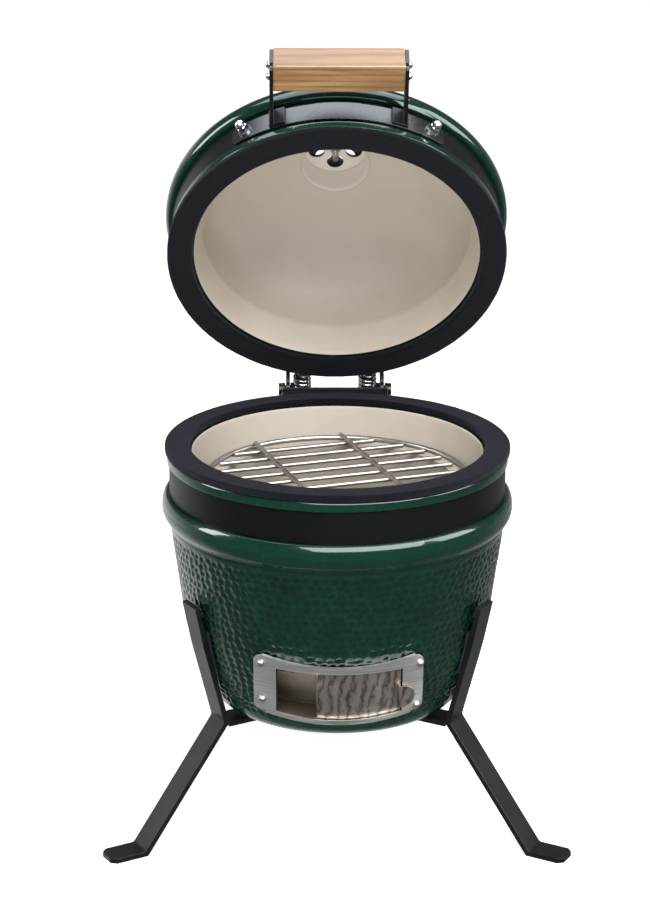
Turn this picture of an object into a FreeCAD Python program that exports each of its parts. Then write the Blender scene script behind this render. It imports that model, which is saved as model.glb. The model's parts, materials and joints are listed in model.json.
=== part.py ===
import FreeCAD, Part
import math
import os
import re
import Sketcher
from FreeCAD import Placement, Rotation, Vector

# Ceramic charcoal grill with a hinged dome on a three-legged stand.
#
# Row frame: +X right, +Y to the back, +Z up, floor at z = 0, origin under the
# middle of the whole object with its lid open.  Two working frames share the
# axis of the pot: base pieces have z = 0 at the pot's rim plane, and lid pieces
# use the same plane of the closed lid.  BASE and LID carry each into the row.
# Azimuth 0 is the front of the pot (-Y) and +90 is its right side (+X).

doc = FreeCAD.newDocument("kamado_grill")
sheet = doc.addObject("Spreadsheet::Sheet", "Dims")

DIMENSIONS = {
    # placing
    "axis_y": -47.2, "rim_height": 378.7,
    # hinge and opening of the lid
    "lid_open": 59.8, "pivot_y": 180.5, "pivot_z": -1.5,
    # rim, shared by pot and lid
    "gasket_outer": 165, "gasket_inner": 141, "gasket_depth": 7, "felt_gap": 0.4,
    "rim_outer": 163, "rim_inner": 139, "groove_radius": 158.5,
    "band_low": 17.5, "band_high": 47.5, "band_opening": 16, "band_inner": 158.8, "band_outer": 161,
    "bead_radius": 168, "bead_level": 57,
    # pot
    "wall_top_outer": 161.1, "wall_top_level": 76, "wall_knee_outer": 149.8, "wall_knee_level": 160,
    "belly_radius": 257, "belly_centre": -104.7, "belly_level": 125,
    "pot_bottom": 257, "pot_floor": 236.5, "pot_edge": 14,
    # lid dome, two concentric spheres
    "dome_radius": 177.6, "dome_inside": 159.2, "dome_drop": 18.7,
    "chimney_radius": 33, "neck_radius": 44, "neck_top": 166,
    # stand
    "bar_width": 26, "bar_depth": 5, "foot_inner": 218.5, "foot_outer": 253.7,
    "leg_bend": 132.2, "leg_bend_level": 258.7, "strap_knee": 153.2, "strap_knee_level": 179.5,
    "strap_top": 162.3, "strap_top_level": 137, "hub_top": 259, "hub_reach": 126.6,
    # fire bowl and grates
    "bowl_rim": 38.5, "bowl_outer": 126, "bowl_inner": 112, "ledge_level": 206, "ledge_radius": 66,
    "grate_radius": 128, "ring_wire": 2.4, "bar_wire": 2.1, "bar_pitch": 24.3, "cross_offset": 45,
    "grate_turn": 18.7, "bar_short": 8,
    # draft door
    "frame_top": 172, "frame_bottom": 237, "frame_half": 79, "frame_rise": 7.5, "frame_arc": 340,
    "window_left": 58, "window_right": 59.5, "window_top": 178.5, "window_bottom": 231.5,
    "door_left": 20.6, "door_right": 60.5, "door_top": 175, "door_low": 230, "tab_level": 208,
    "door_gap": 1.4, "door_depth": 1.2, "frame_gap": 4, "frame_depth": 1.3,
    "hole_left": 52, "hole_right": 20, "hole_top": 188, "hole_bottom": 231,
    # hinge
    "ear_outer": 54, "ear_depth": 3, "arm_outer": 50, "arm_depth": 4, "saddle_inner": 161.2,
    "saddle_outer": 163.2, "saddle_half": 20, "pivot_bolt": 4, "pivot_hole": 4.05,
    "pin_radius": 3, "pin_hole": 3.05, "lower_pin_y": 210.5, "lower_pin_z": -46.5,
    "upper_pin_y": 169.5, "upper_pin_z": 22.5,
    "coil_radius": 8.2, "coil_wire": 1.3, "coil_pitch": 4.2, "spring_x": 33.5,
    # handle
    "plate_inner": 161.3, "plate_outer": 163.7, "plate_low": 19.5, "plate_high": 41.5,
    "plate_half": 37.4, "bracket_x": 61, "bracket_depth": 3.3, "arm_length": 68,
    "arm_rise": 3.6, "grip_depth": 30.7, "grip_tall": 31,
    "clamp_azimuth": 32.5, "clamp_level": 31,
    # chimney damper
    "damper_radius": 47, "petal_radius": 8.5, "petal_circle": 20,
    # thermometer
    "dial_tilt": 40.9, "dial_radius": 24, "probe_radius": 3,
}
for row, (alias, value) in enumerate(DIMENSIONS.items(), start=1):
    sheet.set("A%d" % row, alias)
    sheet.set("B%d" % row, str(value))
    sheet.setAlias("B%d" % row, alias)
doc.recompute()


def D(alias):
    """The sheet's value of one driving dimension."""
    return float(sheet.get(alias))


def names(text):
    """Give every driving dimension in an expression its sheet's name."""
    def full(match):
        return "Dims." + match[0] if match[0] in DIMENSIONS else match[0]
    return re.sub(r"(?<![.\w])[a-z_]+(?!\w)", full, text)


BASE = names("placement(vector(0; axis_y ; rim_height ); rotation(vector(0; 0; 1); 0))")
LID = names("placement(vector(0; axis_y ; rim_height ); rotation(vector(-1; 0; 0); lid_open );"
            " vector(0; pivot_y ; pivot_z ))")


def turned_frame(frame, azimuth):
    """A frame turned about the pot's axis, so that local +X points to an azimuth."""
    return frame + " * placement(vector(0; 0; 0); rotation(vector(0; 0; 1); %s))" % (azimuth - 90)


def radial_frame(azimuth, radius, level):
    """Local +Z points out of the pot at an azimuth, from a radius and a level."""
    return names("placement(vector(0; 0; %s ); rotation(vector(0; 0; 1); %s ))"
                 " * placement(vector(0; - ( %s ) ; 0); rotation(vector(1; 0; 0); 90))"
                 % (level, azimuth, radius))


def bind(thing, **sizes):
    """Set sizes; text is an expression of the driving dimensions."""
    for name, value in sizes.items():
        if isinstance(value, str):
            thing.setExpression(name, names(value))
        else:
            setattr(thing, name, value)
    return thing


# ---- sketches and bodies -------------------------------------------------------

class Bulge:
    """An arc from the point before to the point after it, by its radius and side."""

    def __init__(self, radius, side):
        self.radius = radius
        self.side = side


def number(text):
    """The present value of an expression, for a sketch's first guess."""
    cell = "D%d" % (len(DIMENSIONS) + 5)
    sheet.set(cell, "=" + text)
    sheet.recompute()
    return float(sheet.get(cell))


def arc_middle(start, end, radius, side):
    """The middle of an arc; side +1 bulges to the left of start to end."""
    chord = end - start
    half = chord.Length / 2
    left = Vector(-chord.y, chord.x, 0).normalize()
    sagitta = radius - math.sqrt(radius * radius - half * half)
    return (start + end) * 0.5 + left * (sagitta * side)


def origin_plane(body, role):
    for feature in body.Origin.OriginFeatures:
        if feature.Role == role:
            return feature


def sketch_on(body, role, name):
    sketch = body.newObject("Sketcher::SketchObject", name)
    sketch.AttachmentSupport = [(origin_plane(body, role), "")]
    sketch.MapMode = "FlatFace"
    return sketch


def pin_point(sketch, geometry, end, x, y):
    """Hold one point of a sketch at two expressions."""
    for kind, text in (("DistanceX", x), ("DistanceY", y)):
        value = number(text)
        index = sketch.addConstraint(Sketcher.Constraint(kind, -1, 1, geometry, end, value))
        label = "%s%d" % (kind.lower(), index)
        sketch.renameConstraint(index, label)
        sketch.setExpression("Constraints." + label, names(text))


def draw(sketch, outline):
    """Draw a closed outline of (x, y) expressions, with Bulge between some points."""
    corners = [item for item in outline if not isinstance(item, Bulge)]
    places = [Vector(number(x), number(y), 0) for x, y in corners]
    first = sketch.GeometryCount
    count = len(corners)
    ends = []
    position = 0
    for index, item in enumerate(outline):
        if isinstance(item, Bulge):
            continue
        start = places[position]
        end = places[(position + 1) % count]
        after = outline[(index + 1) % len(outline)]
        if isinstance(after, Bulge):
            middle = arc_middle(start, end, number(after.radius), after.side)
            edge = sketch.addGeometry(Part.Arc(start, middle, end), False)
            forward = sketch.getPoint(edge, 1).distanceToPoint(start) < 1e-4
            ends.append((edge, 1, 2) if forward else (edge, 2, 1))
            label = "arc%d" % edge
            fixed = sketch.addConstraint(Sketcher.Constraint("Radius", edge, number(after.radius)))
            sketch.renameConstraint(fixed, label)
            sketch.setExpression("Constraints." + label, names(after.radius))
        else:
            edge = sketch.addGeometry(Part.LineSegment(start, end), False)
            ends.append((edge, 1, 2))
        position += 1
    for index in range(count):
        edge, _, last = ends[index]
        after, begin, _ = ends[(index + 1) % count]
        sketch.addConstraint(Sketcher.Constraint("Coincident", edge, last, after, begin))
    for (edge, begin, _), (x, y) in zip(ends, corners):
        pin_point(sketch, edge, begin, x, y)
    return first


def new_body(label, frame):
    body = doc.addObject("PartDesign::Body", label)
    body.Label = label
    body.setExpression("Placement", frame)
    return body


def revolve(body, outline, sweep=360):
    """Turn an (radius, level) outline about the pot's axis, centred on local +X."""
    sketch = sketch_on(body, "XZ_Plane", body.Name + "_profile")
    draw(sketch, outline)
    feature = body.newObject("PartDesign::Revolution", body.Name + "_turned")
    feature.Profile = sketch
    feature.ReferenceAxis = (sketch, ["V_Axis"])
    feature.Midplane = True
    bind(feature, Angle=sweep)
    return feature


def pad(body, role, outline, thickness, both_ways=True):
    sketch = sketch_on(body, role, body.Name + "_outline")
    draw(sketch, outline)
    feature = body.newObject("PartDesign::Pad", body.Name + "_pad")
    feature.Profile = sketch
    feature.Midplane = both_ways
    bind(feature, Length=thickness)
    return feature


def pocket_front(body, outline, depth):
    """Cut an (x, level) outline out of the front wall, from the axis outwards."""
    sketch = sketch_on(body, "XZ_Plane", body.Name + "_hole")
    draw(sketch, outline)
    before = body.Shape.Volume
    feature = body.newObject("PartDesign::Pocket", body.Name + "_cut")
    feature.Profile = sketch
    feature.Reversed = True
    bind(feature, Length=depth)
    doc.recompute()
    removed = feature.AddSubShape.BoundBox
    if body.Shape.Volume > before - 1 or removed.YMax > 1:
        raise RuntimeError(body.Name + ": the pocket does not cut the front wall")
    return feature


def round_edges(body, test, radius, kind="PartDesign::Fillet"):
    """Round or chamfer the edges of a body's tip that pass a test on (x, y, z) of both ends."""
    doc.recompute()
    tip = body.Tip
    chosen = []
    for index, edge in enumerate(tip.Shape.Edges, start=1):
        if test(edge):
            chosen.append("Edge%d" % index)
    if not chosen:
        raise RuntimeError(body.Name + ": no edge to round")
    feature = body.newObject(kind, body.Name + "_rounded%d" % len(body.Group))
    feature.Base = (tip, chosen)
    if kind == "PartDesign::Fillet":
        bind(feature, Radius=radius)
    else:
        bind(feature, Size=radius)
    return feature


# ---- primitives and booleans ---------------------------------------------------

def solid(kind, name, frame=None, **sizes):
    thing = doc.addObject("Part::" + kind, name)
    bind(thing, **sizes)
    if frame:
        thing.setExpression("Placement", names(frame))
    return thing


def at(x, y, z):
    return "placement(vector( %s ; %s ; %s ); rotation(vector(0; 0; 1); 0))" % (x, y, z)


def across(x, y, z):
    """Local +Z along the row's +X."""
    return "placement(vector( %s ; %s ; %s ); rotation(vector(0; 1; 0); 90))" % (x, y, z)


def joined(kind, name, things, frame=None):
    """A Part boolean or compound of several things."""
    thing = doc.addObject("Part::" + kind, name)
    if kind == "Cut":
        thing.Base, thing.Tool = things
    elif kind == "Compound":
        thing.Links = things
    else:
        thing.Shapes = things
    thing.Label = name
    if frame:
        thing.setExpression("Placement", frame)
    return thing


SUBPARTS = []


def keep(thing, label=None):
    """Count an object as a sub-part; its label is its name."""
    if label:
        thing.Label = label
    SUBPARTS.append(thing)
    return thing


# ---- pot -------------------------------------------------------------------------

def belly(offset, level):
    """A point at an offset from the pot's rounded lower wall, at a depth below the rim."""
    radius = "( belly_radius + ( %s ) )" % offset
    return ("belly_centre + sqrt( %s ^ 2 - ( %s - belly_level ) ^ 2 )" % (radius, level), "- ( %s )" % level)


def rim_outline(sign, bead_end, inside):
    """The half section that pot and lid share, from the gasket seat to under the bead."""
    def z(text):
        return "%s ( %s )" % (sign, text)
    side = 1 if sign == "-" else -1
    return [("rim_inner", z("gasket_depth")), ("rim_outer - 1.5", z("gasket_depth")),
            ("rim_outer", z("gasket_depth + 1.5")), ("rim_outer", z("band_low - 0.6")),
            ("groove_radius", z("band_low - 0.6")), ("groove_radius", z("band_high + 0.5")),
            ("bead_radius - 3", z("band_high + 0.5")), Bulge("10", side),
            ("bead_radius", z("bead_level")), Bulge("16", side), bead_end] + inside


def base_shell():
    """The ceramic pot: rim, groove for the band, bead, wall, floor and draft hole."""
    body = new_body("base_shell", BASE)
    wall = [("wall_top_outer", "- wall_top_level"), belly("0", "wall_knee_level"),
            Bulge("belly_radius", 1), belly("0", "pot_bottom"),
            ("0", "- pot_bottom"), ("0", "- pot_floor"), ("84", "- pot_floor"), Bulge("30", -1),
            ("107", "- 225"), Bulge("200", -1), ("126", "- 150"), ("130", "- 70"), ("131", "- 40")]
    revolve(body, rim_outline("-", ("wall_top_outer + 0.6", "- wall_top_level + 2.5"), wall))
    doc.recompute()
    pocket_front(body, [("- hole_left", "- hole_bottom"), ("hole_right", "- hole_bottom"),
                        ("hole_right", "- hole_top"), ("- hole_left", "- hole_top")], "180")

    def bottom_edge(edge):
        low = all(abs(v.Z + D("pot_bottom")) < 0.01 for v in edge.Vertexes)
        return low and edge.Length > 300
    round_edges(body, bottom_edge, "pot_edge")
    return keep(body)


def ring(label, frame, inner, outer, low, high, sweep=360, centre=0, rounding=0.0):
    """A flat-sided ring or part of one, between two radii and two levels."""
    body = new_body(label, turned_frame(frame, centre))
    revolve(body, [(inner, low), (outer, low), (outer, high), (inner, high)], sweep)
    if rounding:
        round_edges(body, lambda edge: edge.Curve.TypeId == "Part::GeomCircle", str(rounding))
    return body


def base_gasket():
    return keep(ring("base_gasket", BASE, "gasket_inner", "gasket_outer", "- gasket_depth", "0",
                     rounding=1.2))


def drilled_band(label, frame, low, high, centre, places):
    """A steel strap round the ceramic, open at one azimuth, with holes for its bolts."""
    strap = ring(label + "_strap", "placement(vector(0; 0; 0); rotation(vector(0; 0; 1); 0))",
                 "band_inner", "band_outer", low, high, "360 - band_opening", centre)
    drills = [solid("Cylinder", label + "_drill", radial_frame(azimuth, "150", level), Radius=3.05, Height=30)
              for azimuth, level in places]
    drilled = joined("Cut", label + "_drilled", (strap, joined("Compound", label + "_drills", drills)))
    return keep(joined("Compound", label, [drilled], frame))


def base_band():
    return drilled_band("base_band", BASE, "- band_high", "- band_low", 0, BRACKET_BOLTS["hinge_base_bracket"])


def fire_bowl():
    """Loose ceramic bowl that holds the charcoal, with a ledge for its grate and an ash door."""
    body = new_body("fire_bowl", BASE)
    revolve(body, [("bowl_inner", "- bowl_rim"), ("bowl_outer", "- bowl_rim"), ("118", "- 150"),
                   Bulge("150", 1), ("88", "- 225"), ("80", "- pot_floor + 0.3"), ("60", "- pot_floor + 0.3"),
                   ("60", "- ledge_level"), ("ledge_radius", "- ledge_level"),
                   ("ledge_radius", "- ledge_level + 9"), Bulge("130", -1), ("105", "- 150")])
    doc.recompute()
    pocket_front(body, [("- 6", "- 236"), ("46", "- 236"), ("46", "- 214"), ("- 6", "- 214")], "150")
    return keep(body)


def fire_grate():
    """Cast plate with round holes, on the ledge of the fire bowl."""
    plate = solid("Cylinder", "fire_plate", at("0", "0", "- ledge_level + 0.2"),
                  Radius="ledge_radius - 2.5", Height="6")
    holes = []
    for circle, count in ((0, 1), (19, 6), (37, 12), (53, 18)):
        for index in range(count):
            angle = math.radians(360 * index / count)
            centre = at(circle * math.cos(angle), circle * math.sin(angle), "- ledge_level - 1")
            holes.append(solid("Cylinder", "fire_hole", centre, Radius=4.5, Height=12))
    drilled = joined("Cut", "fire_grate_drilled", (plate, joined("Compound", "fire_holes", holes)))
    return keep(joined("Compound", "fire_grate", [drilled], BASE))


# ---- cooking grate -----------------------------------------------------------------

def cooking_grate():
    """A round wire ring with two cross bars welded to it and nine free-ended bars under them."""
    level = "- bowl_rim + 0.3 + ring_wire"
    wires = [solid("Torus", "grate_ring", at("0", "0", level),
                   Radius1="grate_radius - ring_wire", Radius2="ring_wire")]
    for index in range(-4, 5):
        offset = "( %d * bar_pitch )" % index
        reach = "( sqrt( ( grate_radius - ring_wire ) ^ 2 - %s ^ 2 ) - bar_short )" % offset
        wires.append(solid("Cylinder", "grate_bar", across("- " + reach, offset, level),
                           Radius="bar_wire", Height="2 * " + reach))
        for end in ("- ", ""):
            wires.append(solid("Sphere", "grate_bar_end", at(end + reach, offset, level), Radius="bar_wire"))
    for side in (-1, 1):
        offset = "( %d * cross_offset )" % side
        reach = "( sqrt( ( grate_radius - ring_wire ) ^ 2 - %s ^ 2 ) - 1 )" % offset
        frame = ("placement(vector( %s ; %s ; %s + 3.4 ); rotation(vector(1; 0; 0); 90))"
                 % (offset, reach, level))
        wires.append(solid("Cylinder", "grate_cross", frame, Radius="bar_wire", Height="2 * " + reach))
    whole = joined("MultiFuse", "grate_welded", wires)
    turn = " * placement(vector(0; 0; 0); rotation(vector(0; 0; 1); Dims.grate_turn ))"
    return keep(joined("Compound", "cooking_grate", [whole], BASE + turn))


# ---- stand ---------------------------------------------------------------------------

LEG_AZIMUTHS = {"leg_front_left": -60, "leg_front_right": 60, "leg_rear": 180}


def bar_outline():
    """Side outline of a leg bar: the outer face's corners, then the inner face's."""
    outer = [Vector(D("strap_top"), -D("strap_top_level"), 0),
             Vector(D("strap_knee"), -D("strap_knee_level"), 0),
             Vector(D("leg_bend"), -D("leg_bend_level"), 0),
             Vector(D("foot_inner"), D("bar_depth") - D("rim_height"), 0),
             Vector(D("foot_outer"), D("bar_depth") - D("rim_height"), 0)]
    inner = []
    depth = D("bar_depth")
    for index, corner in enumerate(outer):
        before = (corner - outer[index - 1]).normalize() if index else None
        after = (outer[index + 1] - corner).normalize() if index + 1 < len(outer) else None
        before = before or after
        after = after or before
        normal = Vector(before.y, -before.x, 0)
        bend = Vector(after.y, -after.x, 0)
        mitre = (normal + bend).normalize()
        inner.append(corner + mitre * (depth / mitre.dot(normal)))
    return outer, inner


def leg(label, azimuth):
    """One flat bar: strap up the pot's side, bend, slanting leg and foot."""
    body = new_body(label, turned_frame(BASE, azimuth))
    _, inner = bar_outline()
    outer = [("strap_top", "- strap_top_level"), ("strap_knee", "- strap_knee_level"),
             ("leg_bend", "- leg_bend_level"), ("foot_inner", "bar_depth - rim_height"),
             ("foot_outer", "bar_depth - rim_height")]
    inside = [("%.4f" % corner.x, "%.4f" % corner.y) for corner in reversed(inner)]
    pad(body, "XZ_Plane", outer + inside, "bar_width")
    floor = D("bar_depth") - D("rim_height")

    def foot_corner(edge):
        upright = edge.Length < 1.2 * D("bar_depth")
        return upright and all(v.X > D("foot_outer") - 0.1 for v in edge.Vertexes)
    round_edges(body, foot_corner, "5", "PartDesign::Chamfer")

    def bend(edge):
        a, b = edge.Vertexes[0].Point, edge.Vertexes[-1].Point
        inside_run = -D("rim_height") + 0.1 < a.z < -D("strap_top_level") - 20 or a.z > floor + 1
        straight = abs(a.y - b.y) > D("bar_width") - 0.1
        end = a.x > D("foot_outer") - 0.1 or a.z > -D("strap_top_level") - 6
        return straight and inside_run and not end
    round_edges(body, bend, "4")
    return keep(body)


def stand_hub():
    """Three flat arms under the pot, welded together and to the legs."""
    arms = [solid("Cylinder", "hub_disc", at("0", "0", "- hub_top - bar_depth"),
                  Radius=34, Height="bar_depth")]
    for azimuth in LEG_AZIMUTHS.values():
        frame = ("placement(vector(0; 0; 0); rotation(vector(0; 0; 1); %d )) * " % (azimuth - 90)
                 + at("0", "- bar_width / 2", "- hub_top - bar_depth"))
        arms.append(solid("Box", "hub_arm", frame, Length="hub_reach", Width="bar_width",
                          Height="bar_depth"))
    return keep(joined("MultiFuse", "stand_hub", arms, BASE))


def support_pads():
    """Felt discs between the hub's arms and the pot."""
    discs = []
    for azimuth in LEG_AZIMUTHS.values():
        angle = math.radians(azimuth)
        centre = at(80 * math.sin(angle), -80 * math.cos(angle), "- hub_top")
        discs.append(solid("Cylinder", "support_pad", centre, Radius=11, Height="hub_top - pot_bottom"))
    return keep(joined("Compound", "support_pads", discs, BASE))


def strap_pads():
    """Felt strips between the straps and the pot, bent to the pot's wall."""
    strips = []
    for azimuth in LEG_AZIMUTHS.values():
        strip = new_body("strap_pad", turned_frame(BASE, azimuth).replace(BASE + " * ", ""))
        revolve(strip, [belly("0.2", "wall_knee_level + 2"), belly("1.2", "wall_knee_level + 2"),
                        Bulge("belly_radius + 1.2", 1), belly("1.2", "204"), belly("0.2", "204"),
                        Bulge("belly_radius + 0.2", -1)], 12.5)
        strips.append(strip)
    return keep(joined("Compound", "strap_pads", strips, BASE))


# ---- draft door --------------------------------------------------------------------------

def front_prism(name, outline):
    """A straight prism through the pot's front, for cutting shells of revolution to shape."""
    body = doc.addObject("PartDesign::Body", name)
    sketch = sketch_on(body, "XZ_Plane", name + "_outline")
    if isinstance(outline[0], list):
        for loop in outline:
            draw(sketch, loop)
    else:
        draw(sketch, outline)
    feature = body.newObject("PartDesign::Pad", name + "_pad")
    feature.Profile = sketch
    feature.Length = 200
    doc.recompute()
    if body.Shape.BoundBox.YMax > 1:
        feature.Reversed = True
        doc.recompute()
    return body


def shell_body(name, outline):
    body = doc.addObject("PartDesign::Body", name)
    revolve(body, outline)
    return body


def belly_frame(azimuth, depth, offset):
    """Local +Z stands square on the pot's rounded lower wall, at an offset from it."""
    lean = "90 + asin( ( %s - belly_level ) / belly_radius ) / 1 deg" % depth
    return ("placement(vector(0; 0; - belly_level ); rotation(vector(0; 0; 1); %s ))" % azimuth
            + " * placement(vector(0; - belly_centre ; 0); rotation(vector(1; 0; 0); %s ))" % lean
            + " * " + at("0", "0", "belly_radius + ( %s )" % offset))


def round_head_screw(name, azimuth, offset, depth, head, shank, reach):
    """A round-headed screw standing out of the pot's lower wall."""
    frame = belly_frame(azimuth, depth, offset)
    dome = solid("Sphere", name + "_dome", frame, Radius=head, Angle1=0, Angle2=90)
    stem = solid("Cylinder", name + "_stem", frame + names(" * " + at("0", "0", "- %s" % reach)),
                 Radius=shank, Height=reach + 0.2)
    return joined("MultiFuse", name, [dome, stem])


FRAME_SCREWS = {"upper_left": (-28.1, "frame_top"), "lower_left": (-29.9, "frame_top + 40"),
                "upper_right": (29.7, "frame_top + 1"), "lower_right": (31.9, "frame_top + 48")}


def draft_frame():
    """Sheet-steel frame with a window; it curves up at its ends as a strip does round a cone."""
    face = "frame_gap + frame_depth"
    levels = ("frame_top - frame_rise - 2", "frame_bottom + 1")
    sheet = [belly("frame_gap", levels[0]), belly(face, levels[0]), Bulge("belly_radius + " + face, 1),
             belly(face, levels[1]), belly("frame_gap", levels[1]), Bulge("belly_radius + frame_gap", -1)]
    wall = [belly("0.3", levels[0]), belly(face, levels[0]), Bulge("belly_radius + " + face, 1),
            belly(face, levels[1]), belly("0.3", levels[1]), Bulge("belly_radius + 0.3", -1)]
    corner = "8"
    high = "- frame_top + frame_rise"
    low = "- frame_bottom + 6.87"
    outer = [("- frame_half", "- frame_top"), Bulge(corner, 1), ("- frame_half + 8", high),
             Bulge("frame_arc", -1), ("frame_half - 8", high), Bulge(corner, 1), ("frame_half", "- frame_top"),
             ("frame_half", "- frame_bottom + 17"), Bulge(corner, 1), ("frame_half - 8", "- frame_bottom + 9"),
             ("68", "- frame_bottom + 9"), ("68", low), Bulge("frame_arc", 1), ("- 68", low),
             ("- 68", "- frame_bottom + 9"), ("- frame_half + 8", "- frame_bottom + 9"), Bulge(corner, 1),
             ("- frame_half", "- frame_bottom + 17")]
    window = [("- window_left", "- window_bottom + 5.5"), Bulge("310", -1),
              ("window_right", "- window_bottom + 5.5"), ("window_right", "- window_top + 2"),
              Bulge("860", 1), ("- window_left", "- window_top + 2")]
    upper_fold = [("- frame_half + 8", high), Bulge("frame_arc", -1), ("frame_half - 8", high),
                  ("frame_half - 8", high + " - 1.3"), Bulge("frame_arc", 1), ("- frame_half + 8", high + " - 1.3")]
    lower_fold = [("- 68", low + " + 1.3"), Bulge("frame_arc", -1), ("68", low + " + 1.3"), ("68", low),
                  Bulge("frame_arc", 1), ("- 68", low)]
    pieces = []
    for name, shell, prism in (("draft_plate", sheet, [outer, window]), ("draft_fold_upper", wall, upper_fold),
                               ("draft_fold_lower", wall, lower_fold)):
        pieces.append(joined("MultiCommon", name, [shell_body(name + "_shell", shell),
                                                   front_prism(name + "_prism", prism)]))
    blank = joined("MultiFuse", "draft_blank", pieces)
    drills = []
    for azimuth, depth in FRAME_SCREWS.values():
        drills.append(solid("Cylinder", "draft_drill", belly_frame(azimuth, depth, "0.1"), Radius=2.1, Height=20))
    drilled = joined("Cut", "draft_drilled", (blank, joined("Compound", "draft_drills", drills)))
    return keep(joined("Compound", "draft_frame", [drilled], BASE))


def draft_frame_screws():
    screws = []
    for name, (azimuth, depth) in FRAME_SCREWS.items():
        screws.append(round_head_screw("screw_" + name, azimuth, "frame_gap + frame_depth + 0.1", depth,
                                       3.6, 2.0, 4.6))
    return keep(joined("Compound", "draft_frame_screws", screws, BASE))


def draft_door():
    """Curved sheet that slides round the pot in the frame, with a bent edge and a finger tab."""
    face = "door_gap + door_depth"
    sheet_outline = [belly("door_gap", "door_top"), belly(face, "door_top"),
                     Bulge("belly_radius + " + face, 1), belly(face, "door_low + 5"),
                     belly("door_gap", "door_low + 5"), Bulge("belly_radius + door_gap", -1)]
    flange_outline = [belly("door_gap", "window_top + 2"), belly("9", "window_top + 2"),
                      Bulge("belly_radius + 9", 1), belly("9", "window_bottom - 6"),
                      belly("door_gap", "window_bottom - 6"), Bulge("belly_radius + door_gap", -1)]
    tab_outline = [belly("frame_gap + frame_depth + 0.8", "tab_level - 13"),
                   belly("frame_gap + frame_depth + 2", "tab_level - 13"),
                   Bulge("belly_radius + 7.3", 1), belly("frame_gap + frame_depth + 2", "tab_level + 13"),
                   belly("frame_gap + frame_depth + 0.8", "tab_level + 13"), Bulge("belly_radius + 6.1", -1)]
    top = "- door_top + 4"
    low = "- door_low - 8"
    door_prism = [("- door_left", "- door_low"), Bulge("275", -1), ("door_right - 2.5", "- door_low"),
                  ("door_right - 2.5", top), ("- door_left", top)]
    flange_prism = [("- door_left", low), ("- door_left + 1.2", low), ("- door_left + 1.2", top),
                    ("- door_left", top)]
    half = "- tab_level"
    tab_prism = [("door_right - 3.7", half + " - 12"), ("door_right - 1", half + " - 12"),
                 Bulge("12", -1), ("door_right + 11", half), Bulge("12", -1),
                 ("door_right - 1", half + " + 12"), ("door_right - 3.7", half + " + 12")]
    riser_outline = [belly("door_gap", "tab_level - 11.5"), belly("7.3", "tab_level - 11.5"),
                     Bulge("belly_radius + 7.3", 1), belly("7.3", "tab_level + 11.5"),
                     belly("door_gap", "tab_level + 11.5"), Bulge("belly_radius + door_gap", -1)]
    riser_prism = [("door_right - 3.7", low), ("door_right - 2.5", low), ("door_right - 2.5", top),
                   ("door_right - 3.7", top)]
    pieces = []
    for name, shell, prism in (("door_sheet", sheet_outline, door_prism),
                               ("door_flange", flange_outline, flange_prism),
                               ("door_tab", tab_outline, tab_prism),
                               ("door_riser", riser_outline, riser_prism)):
        pieces.append(joined("MultiCommon", name, [shell_body(name + "_shell", shell),
                                                   front_prism(name + "_prism", prism)]))
    whole = joined("MultiFuse", "door_folded", pieces)
    return keep(joined("Compound", "draft_door", [whole], BASE))


# ---- hinge -----------------------------------------------------------------------------------

def side_plates(name, outline, outer, depth, holes):
    """A pair of upright plates in y-z, at both sides of the middle, with cross holes."""
    plates = []
    for side in (-1, 1):
        body = doc.addObject("PartDesign::Body", name)
        pad(body, "YZ_Plane", outline, depth)
        middle = "%d * ( %s - %s / 2 )" % (side, outer, depth)
        body.setExpression("Placement", names(at(middle, "0", "0")))
        plates.append(body)
    drills = []
    for y, z, radius in holes:
        drills.append(solid("Cylinder", name + "_drill", across("- 80", y, z), Radius=radius, Height=160))
    return plates, drills


def bracket(label, saddle_levels, outline, outer, depth, holes, extra, frame):
    plates, drills = side_plates(label + "_side", outline, outer, depth, holes)
    saddle = doc.addObject("PartDesign::Body", label + "_saddle")
    low, high = saddle_levels
    revolve(saddle, [("saddle_inner", low), ("saddle_outer", low), ("saddle_outer", high),
                     ("saddle_inner", high)], "2 * saddle_half")
    saddle.setExpression("Placement", "placement(vector(0; 0; 0); rotation(vector(0; 0; 1); 90))")
    for azimuth, level in BRACKET_BOLTS[label]:
        drills.append(solid("Cylinder", label + "_bolt_hole", radial_frame(azimuth, "150", level),
                            Radius=3.05, Height=30))
    welded = joined("MultiFuse", label + "_welded", plates + [saddle] + extra)
    drilled = joined("Cut", label + "_drilled", (welded, joined("Compound", label + "_drills", drills)))
    return keep(joined("Compound", label, [drilled], frame))


BRACKET_BOLTS = {
    "hinge_base_bracket": [(180 - 12, "- 32.5"), (180 + 12, "- 32.5")],
    "hinge_lid_bracket": [(180 - 12, "32.5"), (180 + 12, "32.5")],
}


def hinge_base_bracket():
    """Saddle on the pot's band, two ears and a cross web; the ears carry pivots and a pin."""
    ear = [("155", "- 45.5"), ("155", "- 19.5"), ("168.5", "- 8"), ("pivot_y - 6.5", "pivot_z"),
           Bulge("6.5", 1), ("pivot_y", "pivot_z + 6.5"), Bulge("6.5", 1), ("pivot_y + 6.5", "pivot_z"),
           ("lower_pin_y + 7", "lower_pin_z + 2"), Bulge("7.3", 1), ("lower_pin_y", "lower_pin_z - 7"),
           ("lower_pin_y - 20", "lower_pin_z - 7"), ("166", "- 47"), ("163", "- 45.5")]
    web = solid("Box", "hinge_web", at("- ear_outer + 1", "168.5", "- 46"),
                Length="2 * ear_outer - 2", Width=2.5, Height="46 + 3.2")
    return bracket("hinge_base_bracket", ("- 46", "- 19"), ear, "ear_outer", "ear_depth",
                   [("pivot_y", "pivot_z", "pivot_hole"), ("lower_pin_y", "lower_pin_z", "pin_hole")],
                   [web], BASE)


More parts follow.
